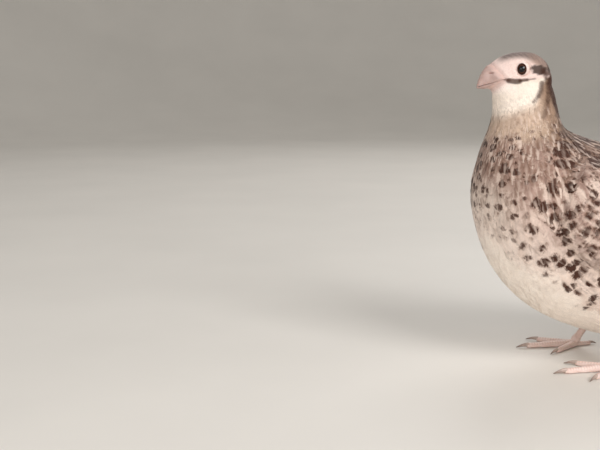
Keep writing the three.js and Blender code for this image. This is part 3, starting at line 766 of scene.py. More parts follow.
def leg_material(colours):
    """Scaled leg skin: flat keratin plates with darker joins, slightly waxy."""
    material, add, place, join = new_material("Leg scales", "Join")
    # Small side scales about 0.7 mm across.
    scales = add("TexVoronoi", place, 1300, feature="DISTANCE_TO_EDGE")
    seam = add("MapRange", scales, 0.0, 0.12, 1.0, 0.0)
    tone = add("Mix", add("TexNoise", place, 240, 4), colours["leg"], linear("#D6B5AA"), **BLEND)
    dark = add("Math", add("Math", seam, 0.25, join, **TIMES_PLUS), 0.55, use_clamp=True, **TIMES)
    tone = add("Mix", dark, tone, linear("#B08C80"), **BLEND)
    bump = add("Bump", Height=scales, Strength=0.35, Distance=0.0001)
    return finish_material(
        material, tone, bump, Roughness=0.5, Subsurface_Weight=0.1, Subsurface_Radius=(0.002, 0.0009, 0.0006)
    )


def claw_material(colours):
    """Claw horn: translucent keratin, glossier than the toes and darker towards its point."""
    material, add, place, tip = new_material("Claw horn", "Tip")
    tone = add("Mix", tip, colours["claw"], linear("#6F5B52"), **BLEND)
    tone = mottled(add, tone, add("TexNoise", place, 900, 3), 0.85, 1.1)
    return finish_material(material, tone, Roughness=0.35)


def floor_material(colours):
    """Honed pale stone composite: even, with the faintest cloud and a soft, dull reflection."""
    material, add, place = new_material("Honed floor")
    tone = mottled(add, colours["floor"], add("TexNoise", place, 9, 5), 0.97, 1.02)
    return finish_material(material, tone, Roughness=0.55)


# The coat

# A vane: its rows from the root to where its tip begins, as share of its length and share of its half width,
# then the number of barb ends round the tip and how deep the notches between them are.
ROUND_VANE = (((0, 0.3), (0.58, 1.0)), 14, 0.07)
SMALL_VANE = (((0, 0.5), (0.5, 1.0)), 4, 0.35)
HAIR_VANE = (((0, 0.4), (0.55, 1.0)), 7, 0.3)
LONG_VANE = (((0, 0.4), (0.15, 0.7), (0.35, 0.95), (0.6, 1.0), (0.83, 0.92)), 8, 0.06)
DOWN_VANE = (((0, 0.4), (0.5, 1.0)), 12, 0.3)
NO_SPOT = 1e-4  # the size of a blotch that isn't there, which is divided by
BAKE_PATCH = 0.003  # how far a feather reaches round its place in the bake's unwrap

shared = {}  # what one operator makes and a later one needs


def model_vane(shape):
    """One vane, modelled once: a narrow grid with a fan of barb ends at its tip, doubled and sewn into a thin lens."""
    rows, barbs, notch = shape
    shares = np.array(rows)
    waist, broad = shares[-1]
    sides = 2 * barbs + 2
    deselect()
    bpy.ops.mesh.primitive_grid_add(x_subdivisions=2, y_subdivisions=len(rows) - 1, size=2)
    piece = bpy.context.object
    mesh = piece.data
    spots = coordinates(mesh)
    row = np.rint((spots[:, 1] + 1) / 2 * (len(rows) - 1)).astype(int)
    spots[:, 2] = np.where((row == 0) | (np.abs(spots[:, 0]) > 0.9), 0, 0.5)
    spots[:, 0] *= shares[row, 1]
    spots[:, 1] = shares[row, 0]
    bpy.ops.object.mode_set(mode="EDIT")
    bpy.ops.mesh.primitive_circle_add(vertices=sides, radius=1, fill_type="TRIFAN")
    bpy.ops.object.mode_set(mode="OBJECT")
    fan = coordinates(mesh)[len(spots) :]
    place = np.rint(np.arctan2(fan[:, 0], -fan[:, 1]) / (2 * math.pi) * sides).astype(int) % sides - 1
    middle = (np.hypot(fan[:, 0], fan[:, 1]) < 0.5) | (place < 0)
    turn = (1 - place / barbs) * math.pi / 2
    parted = (place % 2 == 0) & (place > 0) & (place < 2 * barbs)
    reach = np.where(middle, 0, np.where(parted, 1 - notch, 1.0))
    out, along = broad * np.sin(turn) * reach, waist + (1 - waist) * np.cos(turn) * reach
    fan = np.stack([out, along, np.where(middle, 0.5, 0)], -1)
    mesh.vertices.foreach_set("co", np.concatenate([spots, fan]).ravel())
    sew = (bpy.ops.mesh.remove_doubles, {"threshold": 1e-5})
    mirror = (bpy.ops.transform.resize, {"value": (1, 1, -1), "center_override": (0, 0, 0)})
    edit(piece, sew, (bpy.ops.mesh.duplicate, {}), mirror, SELECT_ALL, sew, FACE_OUT)
    vane = {"spots": coordinates(mesh), "stops": np.array([*shares[:, 0], (waist + 1) / 2, 1.0]), "waist": waist}
    for name, items, field in (
        ("corners", mesh.loops, "vertex_index"), ("starts", mesh.polygons, "loop_start"),
        ("totals", mesh.polygons, "loop_total"),
    ):
        vane[name] = np.empty(len(items), int)
        items.foreach_get(field, vane[name])
    bpy.data.objects.remove(piece)
    bpy.data.meshes.remove(mesh)
    return vane


class Tract:
    """Feathers to be laid, as an array each for place, lie, size and pattern."""

    def __init__(self, random):
        self.random, self.parts = random, []

    def put(self, root, lie, place, length, width, low, high, **more):
        """Adds feathers with the small differences that real ones have. Low and high lift the root and the tip."""
        count = len(root)
        vary = lambda share: self.random.uniform(1 - share, 1 + share, count)
        values = {
            "length": length * vary(0.1), "width": width * vary(0.08), "low": low, "high": high * vary(0.15),
            "bend": 0.9, "roll": self.random.uniform(-0.05, 0.05, count), "reach": 2.5, "tint": vary(0.05),
            "shade": 0.0, "bars": 0.0, "spot_left": NO_SPOT, "spot_right": NO_SPOT, "spot_place": 0.82,
            "spot_length": 0.1, "streak": 0.0, "dark": self.random.uniform(0.55, 1.0, count), **more,
        }
        part = {name: np.broadcast_to(np.asarray(value, float), (count,)) for name, value in values.items()}
        self.parts.append({"root": root, "lie": lie, "place": place, **part})

    def all(self):
        return {name: np.concatenate([part[name] for part in self.parts]) for name in self.parts[0]}


def paths_along(surface, f, stops):
    """Walks each feather from its root along the surface: which ones find it, their paths and the normals there."""
    kept, paths, normals = [], [], []
    for i, root in enumerate(f["root"]):
        spot, normal, _, gap = surface.find_nearest(root)
        if gap is None or gap > f["reach"][i]:
            continue
        way = Vector(f["lie"][i])
        way = (way - normal * way.dot(normal)).normalized()
        path, ups = [tuple(spot)], [tuple(normal)]
        for share in np.diff(stops):
            there, up, _, _ = surface.find_nearest(spot + way * float(share * f["length"][i]))
            step = there - spot
            way = (step - up * step.dot(up)).normalized()
            spot, normal = there, (normal + up).normalized()
            path.append(tuple(spot))
            ups.append(tuple(normal))
        kept.append(i)
        paths.append(path)
        normals.append(ups)
    return np.array(kept), np.array(paths), np.array(normals)


def lay_feathers(name, vane, tract, material, slot, *nodes, surface=None, thickness=0.04, cup=0.06, ragged=0.035):
    """Lays a copy of the vane for each feather of a tract, all in one mesh, and returns where its blotches lie."""
    f, random, stops = tract.all(), tract.random, vane["stops"]
    kept, paths, normals = paths_along(surface or shared["surface"], f, stops)
    f = {key: value[kept] for key, value in f.items()}
    forward = unit(np.gradient(paths, axis=1))
    sideways = unit(np.cross(forward, normals))
    spots, corners = vane["spots"], vane["corners"]
    count, size = len(kept), len(spots)
    half = (f["width"] / 2)[:, None]
    # Each barb end is a little longer or shorter than the next.
    torn = 1 + random.uniform(-ragged, ragged, (count, size)) * (spots[:, 1] > 0.2)
    across = spots[:, 0] * half * torn
    share = spots[:, 1] + np.maximum(spots[:, 1] - vane["waist"], 0) * (torn - 1)
    first = np.clip(np.searchsorted(stops, share, side="right") - 1, 0, len(stops) - 2)
    part = ((share - stops[first]) / (stops[first + 1] - stops[first]))[..., None]
    each = np.arange(count)[:, None]
    there = lambda values: values[each, first] * (1 - part) + values[each, first + 1] * part
    rise = f["low"][:, None] + (f["high"] - f["low"])[:, None] * np.abs(share) ** f["bend"][:, None]
    rise = rise - cup * across**2 / np.maximum(half, 0.1) + f["roll"][:, None] * across + spots[:, 2] * thickness
    made = there(paths) + there(sideways) * across[..., None] + there(normals) * rise[..., None]
    made = made.reshape(-1, 3)
    mesh = bpy.data.meshes.new(name)
    for items, number, field, values in (
        (mesh.vertices, len(made), "co", to_frame(made).astype(np.float32)),
        (mesh.loops, count * len(corners), "vertex_index", corners + each * size),
        (mesh.polygons, count * len(vane["starts"]), "loop_start", vane["starts"] + each * len(corners)),
        (mesh.polygons, 0, "loop_total", np.tile(vane["totals"], count)),
    ):
        items.add(number)
        items.foreach_set(field, values.ravel() if field == "co" else values.ravel().astype(np.int32))
    mesh.update(calc_edges=True)
    flat = np.stack([spots[:, 0] / 2 + 0.5, spots[:, 1]], axis=-1)
    patch = f["place"][:, None, :] + (flat - 0.5) * BAKE_PATCH
    for layer, values in (("Vane", np.tile(flat[corners], (count, 1))), ("OFBake", patch[:, corners])):
        mesh.uv_layers.new(name=layer).data.foreach_set("uv", values.astype(np.float32).ravel())
    tint = np.repeat(f["tint"], size)[:, None]
    store(mesh, "Ground", np.clip(ground_colour(made, settings()[1]) * tint, 0, 1))
    for key, label in PATTERN.items():
        store(mesh, label, np.repeat(f[key], size))
    for label, share in mark_shares(made).items():
        store(mesh, label, share)
    piece = bpy.data.objects.new(name, mesh)
    bpy.context.collection.objects.link(piece)
    pick(piece)
    bpy.ops.object.shade_smooth_by_angle(angle=math.radians(60))
    settle(piece, material, slot, *nodes)
    # Each blotch as its middle and its radius, for the skin under it.
    middle = np.argmin(np.abs(stops - 0.8))
    blotches = []
    for sign, key in ((-1, "spot_left"), (1, "spot_right")):
        has = f[key] > 0.2
        centres = paths[has, middle] + sideways[has, middle] * (sign * 0.5 * half[has])
        blotches += zip(map(tuple, centres), f[key][has] * half[has, 0] * 0.34)
    return blotches


def quincunx(form, random, first, last, angles, step, spacing, reference):
    """Roots in staggered rows over part of a form, as along and angle. Angles are given in degrees from the top."""
    line = np.linspace(first, last, 400)
    arc = arc_length(form.point(line, math.radians(reference)))
    ring = np.linspace(*map(math.radians, angles), 240)
    roots = []
    for i, distance in enumerate(np.arange(step / 2, arc[-1], step)):
        along = np.interp(distance, arc, line)
        around = arc_length(form.point(along, ring))
        count = max(2, int(round(around[-1] / spacing)))
        marks = (np.arange(count) + 0.25 + 0.5 * (i % 2)) / count * around[-1]
        marks = marks + random.uniform(-0.13, 0.13, count) * spacing
        shift = random.uniform(-0.13, 0.13, count) * step * abs(last - first) / arc[-1]
        roots += [(along + a, g) for a, g in zip(shift, np.interp(marks, around, ring))]
    return np.array(roots).T


def rooted(form, random, steer=0.0, keep=None, **layout):
    """Roots, lies and unwrap places of one tract on a form, left and right alike, and their along and angle."""
    along, angle = quincunx(form, random, **layout)
    root, normal, lie = form.point(along, angle), form.normal(along, angle), form.lie(along, angle)
    turn = (random.normal(0, 0.09, len(along)) - np.sign(np.sin(angle)) * steer)[:, None]
    lie = unit(lie * np.cos(turn) + np.cross(normal, lie) * np.sin(turn))
    place = np.stack([(angle / (2 * math.pi)) % 1, along], -1)
    angle = np.abs((angle + math.pi) % (2 * math.pi) - math.pi)
    chosen = slice(None) if keep is None else keep(root, along, angle)
    return root[chosen], lie[chosen], place[chosen], along[chosen], angle[chosen]


class QUAIL_OT_stage(bpy.types.Operator):
    """Adds the floor, the soft lights and the camera at the photograph's angle"""

    bl_idname = "quail.stage"
    bl_label = "Stage"

    def execute(self, context):
        _, colours, _ = settings()
        scene = context.scene
        # A round sweep: a flat floor whose rim curves up into a low wall, so that no horizon shows.
        radius, curve, turns = 1.5, 0.9, 12
        deselect()
        bpy.ops.mesh.primitive_circle_add(vertices=96, radius=radius, fill_type="NGON", location=(0, 0, -0.0002))
        floor = context.object
        floor.name = "floor"
        rim = (bpy.ops.mesh.select_all, {"action": "INVERT"}), (bpy.ops.mesh.select_non_manifold, {})
        steps = [(bpy.ops.mesh.inset, {"thickness": 0.01}), *rim]
        rise = lambda z: (bpy.ops.mesh.extrude_edges_move, {"TRANSFORM_OT_translate": {"value": (0, 0, z)}})
        angles = [math.radians(90 / turns * turn) for turn in range(turns + 1)]
        for before, angle in zip(angles, angles[1:]):
            wide = (radius + curve * math.sin(angle)) / (radius + curve * math.sin(before))
            widen = (bpy.ops.transform.resize, {"value": (wide, wide, 1), "center_override": (0, 0, 0)})
            steps += [rise(curve * (math.cos(before) - math.cos(angle))), widen]
        edit(floor, *steps, rise(0.5), SELECT_ALL, (bpy.ops.mesh.normals_make_consistent, {"inside": True}))
        smooth(floor)
        bpy.ops.object.transform_apply(location=True, rotation=True, scale=True)
        floor.data.materials.append(floor_material(colours))
        scene.world = scene.world or bpy.data.worlds.new("Studio")
        scene.world.use_nodes = True
        backdrop = scene.world.node_tree.nodes["Background"]
        backdrop.inputs["Color"].default_value = (0.78, 0.79, 0.77, 1)
        backdrop.inputs["Strength"].default_value = 0.55
        aim = Vector((0, -0.03, 0.07))
        for name, place, size, power in (
            ("key", (0.75, 0.3, 0.62), 0.5, 8.0),
            ("fill", (0.8, -0.75, 0.3), 0.9, 6.0),
            ("back", (-0.8, 0.5, 0.9), 0.8, 5.5),
        ):
            bpy.ops.object.light_add(type="AREA", location=place)
            lamp = context.object
            lamp.name = lamp.data.name = name
            lamp.data.size, lamp.data.energy = size, power
            lamp.rotation_euler = (aim - Vector(place)).to_track_quat("-Z", "Y").to_euler()
        bpy.ops.object.camera_add(location=(0.4147, -0.22329, 0.130))
        camera = scene.camera = context.object
        camera.rotation_euler = Vector((-0.9733, 0.1716, -0.1522)).to_track_quat("-Z", "Y").to_euler()
        camera.data.lens, camera.data.sensor_width, camera.data.clip_start = 60, 36, 0.01
        scene.view_settings.view_transform = "Standard"
        return {"FINISHED"}


class QUAIL_OT_skin(bpy.types.Operator):
    """Builds one skin over body, head, thighs and folded wings"""

    bl_idname = "quail.skin"
    bl_label = "Skin"

    def execute(self, context):
        sizes, colours, _ = settings()
        depth, face = sizes["coat_depth"], sizes["face_depth"]
        lift = -(depth + (face + 0.3 - depth) * ramp(0.62, 0.85, np.linspace(0, 1, 110)[:, None]))
        pieces = [loft("skin", form_rings(BODY_FORM, 0, 1, 110, 72, lift))]
        pieces.append(loft("skull", form_rings(HEAD_FORM, 0.012, 0.63, 70, 60, -face)))
        for side in (1, -1):
            pieces.append(loft("thigh", form_rings(thigh_form(side), 0.03, 0.97, 30, 32, -1.6)))
            s = np.linspace(1.5, WING_LENGTH - 14, 60)[:, None]
            across = np.concatenate([np.linspace(-1, 1, 30), np.linspace(1, -1, 12)[1:-1]])[None, :]
            r = across * (wing_depth(s) - 1.5)
            inner = np.arange(across.shape[1])[None, :] >= 30
            # Under the coat the wing's rim slopes more gently into the body, most of all above.
            outer = np.maximum(1.3 * wing_height(s, r, np.where(r < 0, 1.0, 0.7)) - 1.9, -1.5)
            pieces.append(loft("wing_pad", on_flank(side, s, r, np.where(inner, -3.0, outer))))
        pick(*pieces)
        bpy.ops.object.join()
        skin = context.object
        skin.name = skin.data.name = "skin"
        modify(skin, "REMESH", mode="VOXEL", voxel_size=sizes["skin_grain"] / 1000)
        modify(skin, "SMOOTH", factor=0.5, iterations=5)
        # The step from the wing to the flank softens more than the small forms of the head.
        body = np.flatnonzero(from_frame(coordinates(skin.data))[:, 2] < 106)
        skin.vertex_groups.new(name="Body").add(body.tolist(), 1.0, "REPLACE")
        modify(skin, "SMOOTH", factor=0.5, iterations=18, vertex_group="Body")
        # Eye sockets: the skin dips in under the lids.
        spots = from_frame(coordinates(skin.data))
        ahead, up, side = in_head(spots)
        dip = ramp(3.35, 2.3, from_eye(ahead, up)) * (np.abs(side) > 3)
        inward = np.sign(side) * (np.abs(side) - dip * 2.6) - side
        spots = spots + inward[:, None] * HEAD_TURN[:, 0]
        move_to(skin, spots)
        smooth(skin)
        # The skin takes the coat's colour, painted 8% darker as the shade between the feathers.
        store(skin.data, "Ground", ground_colour(spots, colours) * 0.92)
        store(skin.data, "Spots", np.zeros(len(spots)))
        for label, share in mark_shares(spots).items():
            store(skin.data, label, share)
        faces = [tuple(face.vertices) for face in skin.data.polygons]
        shared.update(skin=skin, surface=BVHTree.FromPolygons([tuple(p) for p in spots], faces), blotches=[])
        nodes = ("torso", "neck", "head", "thigh_left", "thigh_right")
        settle(skin, skin_material(colours), "back_and_breast_feathers", *nodes)
        return {"FINISHED"}


class QUAIL_OT_eyes(bpy.types.Operator):
    """Adds the eyeballs and the folded lids round them"""

    bl_idname = "quail.eyes"
    bl_label = "Eyes"

    # The lids' section: distance from the eye's axis past the opening, and height over the ball.
    PROFILE = np.array((
        (0.02, 0.05), (-0.05, 0.22), (0.05, 0.42), (0.3, 0.52), (0.55, 0.44), (0.75, 0.36), (1.0, 0.46),
        (1.3, 0.42), (1.7, 0.1), (2.0, -0.5), (1.6, -0.9), (0.9, -0.6), (0.4, -0.25),
    ))

    def execute(self, context):
        sizes, colours, _ = settings()
        radius, opening, width = sizes["eye_radius"], sizes["lid_opening"], sizes["lid_width"]
        ball, lid = eye_material(colours), lid_material()
        bulge = lambda reach: 0.35 * ramp(2.3, 0.0, reach)  # The cornea bulges where the eye looks out.
        for side, label in ((1, "left"), (-1, "right")):
            look = Vector((side, -0.22, 0.04)).to_track_quat("Z", "Y").to_matrix().to_4x4()
            matrix = HEAD_MATRIX @ Matrix.Translation((side * EYE_PLACE[0], EYE_PLACE[1], EYE_PLACE[2])) @ look
            deselect()
            bpy.ops.mesh.primitive_uv_sphere_add(segments=48, ring_count=32, radius=radius)
            eye = context.object
            eye.name = eye.data.name = "eyeball_" + label
            spots = coordinates(eye.data)
            reach = np.hypot(spots[:, 0], spots[:, 1])
            spots[:, 2] += bulge(reach) * (spots[:, 2] > 0)
            move_to(eye, placed(spots, matrix))
            store(eye.data, "Ring", np.where(spots[:, 2] > 0, reach / 3.3, 1.0))
            smooth(eye)
            settle(eye, ball, "eye", "eye_" + label)
            # The lids: a ring of skin that folds over the ball, thick at its rim.
            turn = np.linspace(0, 2 * math.pi, 56, endpoint=False)[None, :]
            off = 1 / np.hypot(np.cos(turn) / width, np.sin(turn) / opening) + self.PROFILE[:, :1]
            over = np.sqrt(np.maximum(radius**2 - off**2, 0.05)) + self.PROFILE[:, 1:] + bulge(off)
            rings = placed(np.stack([off * np.cos(turn), off * np.sin(turn), over], axis=-1), matrix)
            lids = loft("lids_" + label, np.concatenate([rings, rings[:1]]))
            edit(lids, MERGE, (bpy.ops.mesh.delete_loose, {}), FACE_OUT)
            local = (from_frame(coordinates(lids.data)) - np.array(matrix.translation)) @ np.array(matrix.to_3x3())
            edge = np.hypot(local[:, 0] * opening / width, local[:, 1])
            store(lids.data, "Rim", ramp(opening + 0.25, opening + 0.02, edge))
            settle(lids, lid, "pale_feathers")
        return {"FINISHED"}


class QUAIL_OT_bill(bpy.types.Operator):
    """Builds the two halves of the bill, cut from the head's own form"""

    bl_idname = "quail.bill"
    bl_label = "Bill"

    def execute(self, context):
        _, colours, _ = settings()
        horn = bill_material(colours)

        def cut(a, b, keep, inset=0.03):
            """A cut across the head by the line of two (forward, height) points, keeping the side where keep lies."""
            way = Vector((b[0] - a[0], b[1] - a[1]))
            normal = Vector((-way.y, way.x)).normalized()
            if normal.dot(Vector((keep[0] - a[0], keep[1] - a[1]))) > 0:
                normal = -normal
            spot = HEAD_MATRIX @ Vector((0, normal.x * inset - a[0], a[1] - normal.y * inset))
            no = HEAD_MATRIX.to_3x3() @ Vector((0, -normal.x, normal.y))
            options = {"plane_co": to_frame(spot), "plane_no": no, "clear_outer": True, "use_fill": True}
            return bpy.ops.mesh.bisect, options

        for label, cuts in (
            ("upper", ((MOUTH_CORNER, BILL_TIP, (12, 2)), (CULMEN_ROOT, MOUTH_CORNER, (14, -3)))),
            ("lower", ((MOUTH_CORNER, BILL_TIP, (11, -8)), (CHIN_ROOT, MOUTH_CORNER, (14, -6)))),
        ):
            piece = loft("horn_" + label, form_rings(HEAD_FORM, 0.3, 1.0, 120, 72, 0.0))
            for points in cuts:
                edit(piece, cut(*points))
            modify(piece, "REMESH", mode="VOXEL", voxel_size=0.00016)
            modify(piece, "SMOOTH", factor=0.5, iterations=4)
            spots = from_frame(coordinates(piece.data))
            ahead, up, side = in_head(spots)
            # Painted shade along the crease where the two halves of the bill meet.
            depth = ramp(0.45, 0.1, near_line(ahead, up, [MOUTH_CORNER, BILL_TIP])) * 0.3
            if label == "upper":
                # The nostril is a slit under a swollen flap.
                slit = np.hypot((ahead - 11.2 + 0.3 * (up + 0.6)) / 1.25, (up + 0.6) / 0.42)
                flap = np.hypot((ahead - 11.0) / 1.9, (up - 0.45) / 0.85)
                inward = ramp(1.3, 0.3, slit) * 0.4 - ramp(1.3, 0.0, flap) * 0.28
                inward = np.where(np.abs(side) > 1.2, inward, 0) * np.sign(side)
                spots = spots - inward[:, None] * HEAD_TURN[:, 0]
                # The slit is painted darker too, as the shade inside it.
                depth = np.maximum(depth, ramp(1.15, 0.5, slit) * 0.6)
            # Its root sinks under the feathers of the face.
            root = near_line(ahead, up, BILL_ROOT)
            outward = unit(np.stack([side, np.zeros_like(side), up + 2.0], axis=-1)) @ HEAD_TURN.T
            move_to(piece, spots - outward * (0.62 * ramp(2.6, 0.2, root))[:, None])
            store(piece.data, "Depth", depth)
            store(piece.data, "Base", ramp(3.2, 0.0, root))
            smooth(piece)
            settle(piece, horn, "bill", "bill_" + label)
        return {"FINISHED"}


class QUAIL_OT_legs(bpy.types.Operator):
    """Builds the scaled shanks, the toes with their pads and the claws"""

    bl_idname = "quail.legs"
    bl_label = "Legs"

    JOINT, HOCK = (20, -2, 3), (THIGH_OUT, 13, 24)  # the ends of the left shank
    # Each toe's angle from straight ahead, length, thickness at its root, and the length of its claw.
    TOES = {
        "middle": (0.04, 24, 1.65, 5.0), "outer": (0.66, 18.5, 1.5, 5.0), "inner": (-0.62, 17, 1.5, 5.0),
        "hind": (3.0, 8.5, 1.2, 3.0),
    }
    AROUND = np.linspace(0, 2 * math.pi, 24, endpoint=False)
    ACROSS, UP = np.cos(AROUND), np.sin(AROUND)

    def execute(self, context):
        sizes, colours, _ = settings()
        scales, horn = leg_material(colours), claw_material(colours)
        pitch = sizes["scute_pitch"]
        for side, label in ((1, "left"), (-1, "right")):
            joint, hock = (Vector((side * x, y, z)) for x, y, z in (self.JOINT, self.HOCK))
            run = hock - joint
            d = np.arange(-1.2, run.length + 3, 0.18)[:, None]
            thick = 1.62 + 0.35 * np.clip(d / run.length, 0, 1) ** 2 + 0.5 * np.exp(-(((d - 0.5) / 1.6) ** 2))
            front = np.clip(-self.UP * 1.5, 0, 1)
            plate, join = self.plates(d / pitch, 0.2, 0.18, 0.16)
            reach = thick + plate * front
            rings = np.stack([self.ACROSS * reach * 0.88, self.UP * reach, d + 0 * reach], -1)
            matrix = Matrix.Translation(joint) @ run.to_track_quat("Z", "Y").to_matrix().to_4x4()
            shank = self.limb("tarsus_" + label, rings, matrix, 0.12, "Join", front * join)
            settle(shank, scales, "leg_skin", "shank_" + label)
            for name, (angle, length, root, nail_length) in self.TOES.items():
                matrix = Matrix.Rotation(-math.pi / 2 + side * angle, 4, "Z")
                matrix = Matrix.Translation((joint.x, joint.y, 0)) @ matrix
                d = np.arange(-0.6, length + 0.01, 0.16)[:, None]
                share = np.clip(d / length, 0, 1)
                thick = root * (1 - 0.34 * share) * (1 - 0.35 * ramp(0.95, 1.0, share))
                pad = 0.2 * np.abs(np.sin(share * math.pi * max(2, round(length / 5.5)))) ** 0.7
                top = np.clip(self.UP * 1.6, 0, 1)
                plate, join = self.plates(d / (pitch * 0.85), 0.16, 0.2, 0.18)
                reach = thick * (1 + np.where(self.UP < 0, pad, 0.3 * pad)) + plate * top
                rings = np.stack([d + 0 * reach, self.ACROSS * reach, thick * 0.86 + self.UP * reach], -1)
                digit = self.limb(f"digit_{name}_{label}", rings, matrix, 0.0, "Join", top * join)
                settle(digit, scales, "leg_skin", f"toe_{name}_{label}")
                share = np.linspace(0, 1, 22)[:, None]
                thick = root * 0.6 * (1 - share) ** 0.8 + 0.12
                drop = root * 0.66 * (1 - share) ** 1.6 + 0.3 + 0.5 * np.sin(math.pi * share)
                out = length - 0.7 + share * (nail_length + 1.0) + 0 * self.UP
                rings = np.stack([out, self.ACROSS * thick * 0.72, drop + self.UP * thick], -1)
                nail = self.limb(f"nail_{name}_{label}", rings, matrix, 0.02, "Tip", share**1.5 + 0 * self.UP)
                settle(nail, horn, "claw", f"claw_{name}_{label}")
        return {"FINISHED"}

    def plates(self, along, height, rise, gap):
        """The relief of overlapping plates and the joins between them, along in plates."""
        place = along % 1
        return height * ramp(0.0, rise, place) * (1 - 0.8 * place), ramp(gap, 0.0, np.minimum(place, 1 - place))

    def limb(self, name, rings, matrix, lowest, label, values):
        """A loft through placed rings, with a value for each vertex from the ring point it was made from."""
        rings = placed(rings, matrix)
        rings[..., 2] = np.maximum(rings[..., 2], lowest)
        piece = loft(name, rings)
        tree, flat = nearest(to_frame(rings.reshape(-1, 3))), values.ravel()
        store(piece.data, label, [flat[tree.find(v.co)[1]] for v in piece.data.vertices])
        return piece


class QUAIL_OT_head_coat(bpy.types.Operator):
    """Lays the short feathers of the head and the longer ones of the neck"""

    bl_idname = "quail.head_coat"
    bl_label = "Head and neck feathers"

    def execute(self, context):
        sizes, colours, seed = settings()
        random = np.random.default_rng(seed)
        some = lambda low, high: random.uniform(low, high, len(root))  # a draw for each feather in hand
        matt = feather_material("Face feathers", colours, 0.85, 16)
        loose = feather_material("Neck feathers", colours, 0.85, 34)

        def clear_of_bill(root, along, angle):
            ahead, up, _ = in_head(root)
            corner = MOUTH_CORNER
            past = lambda a: (ahead - a[0]) * (a[1] - corner[1]) - (up - a[1]) * (a[0] - corner[0])
            # Each is divided by the length of its line.
            in_front = np.where(up > corner[1], past(CULMEN_ROOT) / 9.0, -past(CHIN_ROOT) / 8.0) > 0.9
            return ~in_front & (from_eye(ahead, up) > 3.25)

        tract = Tract(random)
        root, lie, place, _, _ = rooted(
            HEAD_FORM, random, keep=clear_of_bill,
            first=0.64, last=0.02, angles=(0, 360), step=0.46, spacing=0.5, reference=70,
        )
        ahead, up, _ = in_head(root)
        # From the cheeks down the lie turns from the head's to the neck's.
        down = ramp(-4, -12, up)
        lie = unit(lie * (1 - down[:, None]) + np.array([0, 0.15, -1.0]) * down[:, None])
        long = sizes["face_feather"] * (0.8 + 0.5 * ramp(4, -12, ahead) + 0.4 * down)
        # Feathers in front of the eye stop short of the lids.
        gap = np.where((ahead > -EYE_PLACE[1]) & (np.abs(up) < 3.1), from_eye(ahead, up) - 3.1, 9)
        long = np.minimum(long, np.maximum(gap, 0.7))
        high = 0.04 + 0.2 * ramp(0.0, 3.0, near_line(ahead, up, BILL_ROOT))
        tract.put(root, lie, place, long, 0.74, -0.03, high, tint=some(0.95, 1.04))
        lay_feathers("coat_head", model_vane(SMALL_VANE), tract, matt, "pale_feathers", thickness=0.03, cup=0.04)

        tract = Tract(random)
        for first, last, pitch, size, width, high in (
            (0.985, 0.87, 0.8, 0.5, 1.4, 0.2), (0.9, 0.82, 1.3, 0.95, 2.4, 0.36),
        ):
            root, lie, place, along, angle = rooted(
                BODY_FORM, random, first=first, last=last, angles=(0, 360), step=pitch, spacing=pitch, reference=120
            )
            in_front = ramp(0.9, 1.7, angle)
            tract.put(
                root, lie, place, sizes["neck_feather"] * size, width, 0.0, high,
                shade=0.4 * ramp(1.7, 1.0, angle) * ramp(0.9, 0.84, along) * some(0.3, 1), tint=some(0.82, 1.1),
                streak=some(0, 0.7) * ramp(0.94, 0.86, along) * np.maximum(in_front, 0.6 * ramp(0.9, 0.83, along)),
            )
        lay_feathers("coat_neck", model_vane(HAIR_VANE), tract, loose, "pale_feathers", cup=0.08)
        return {"FINISHED"}


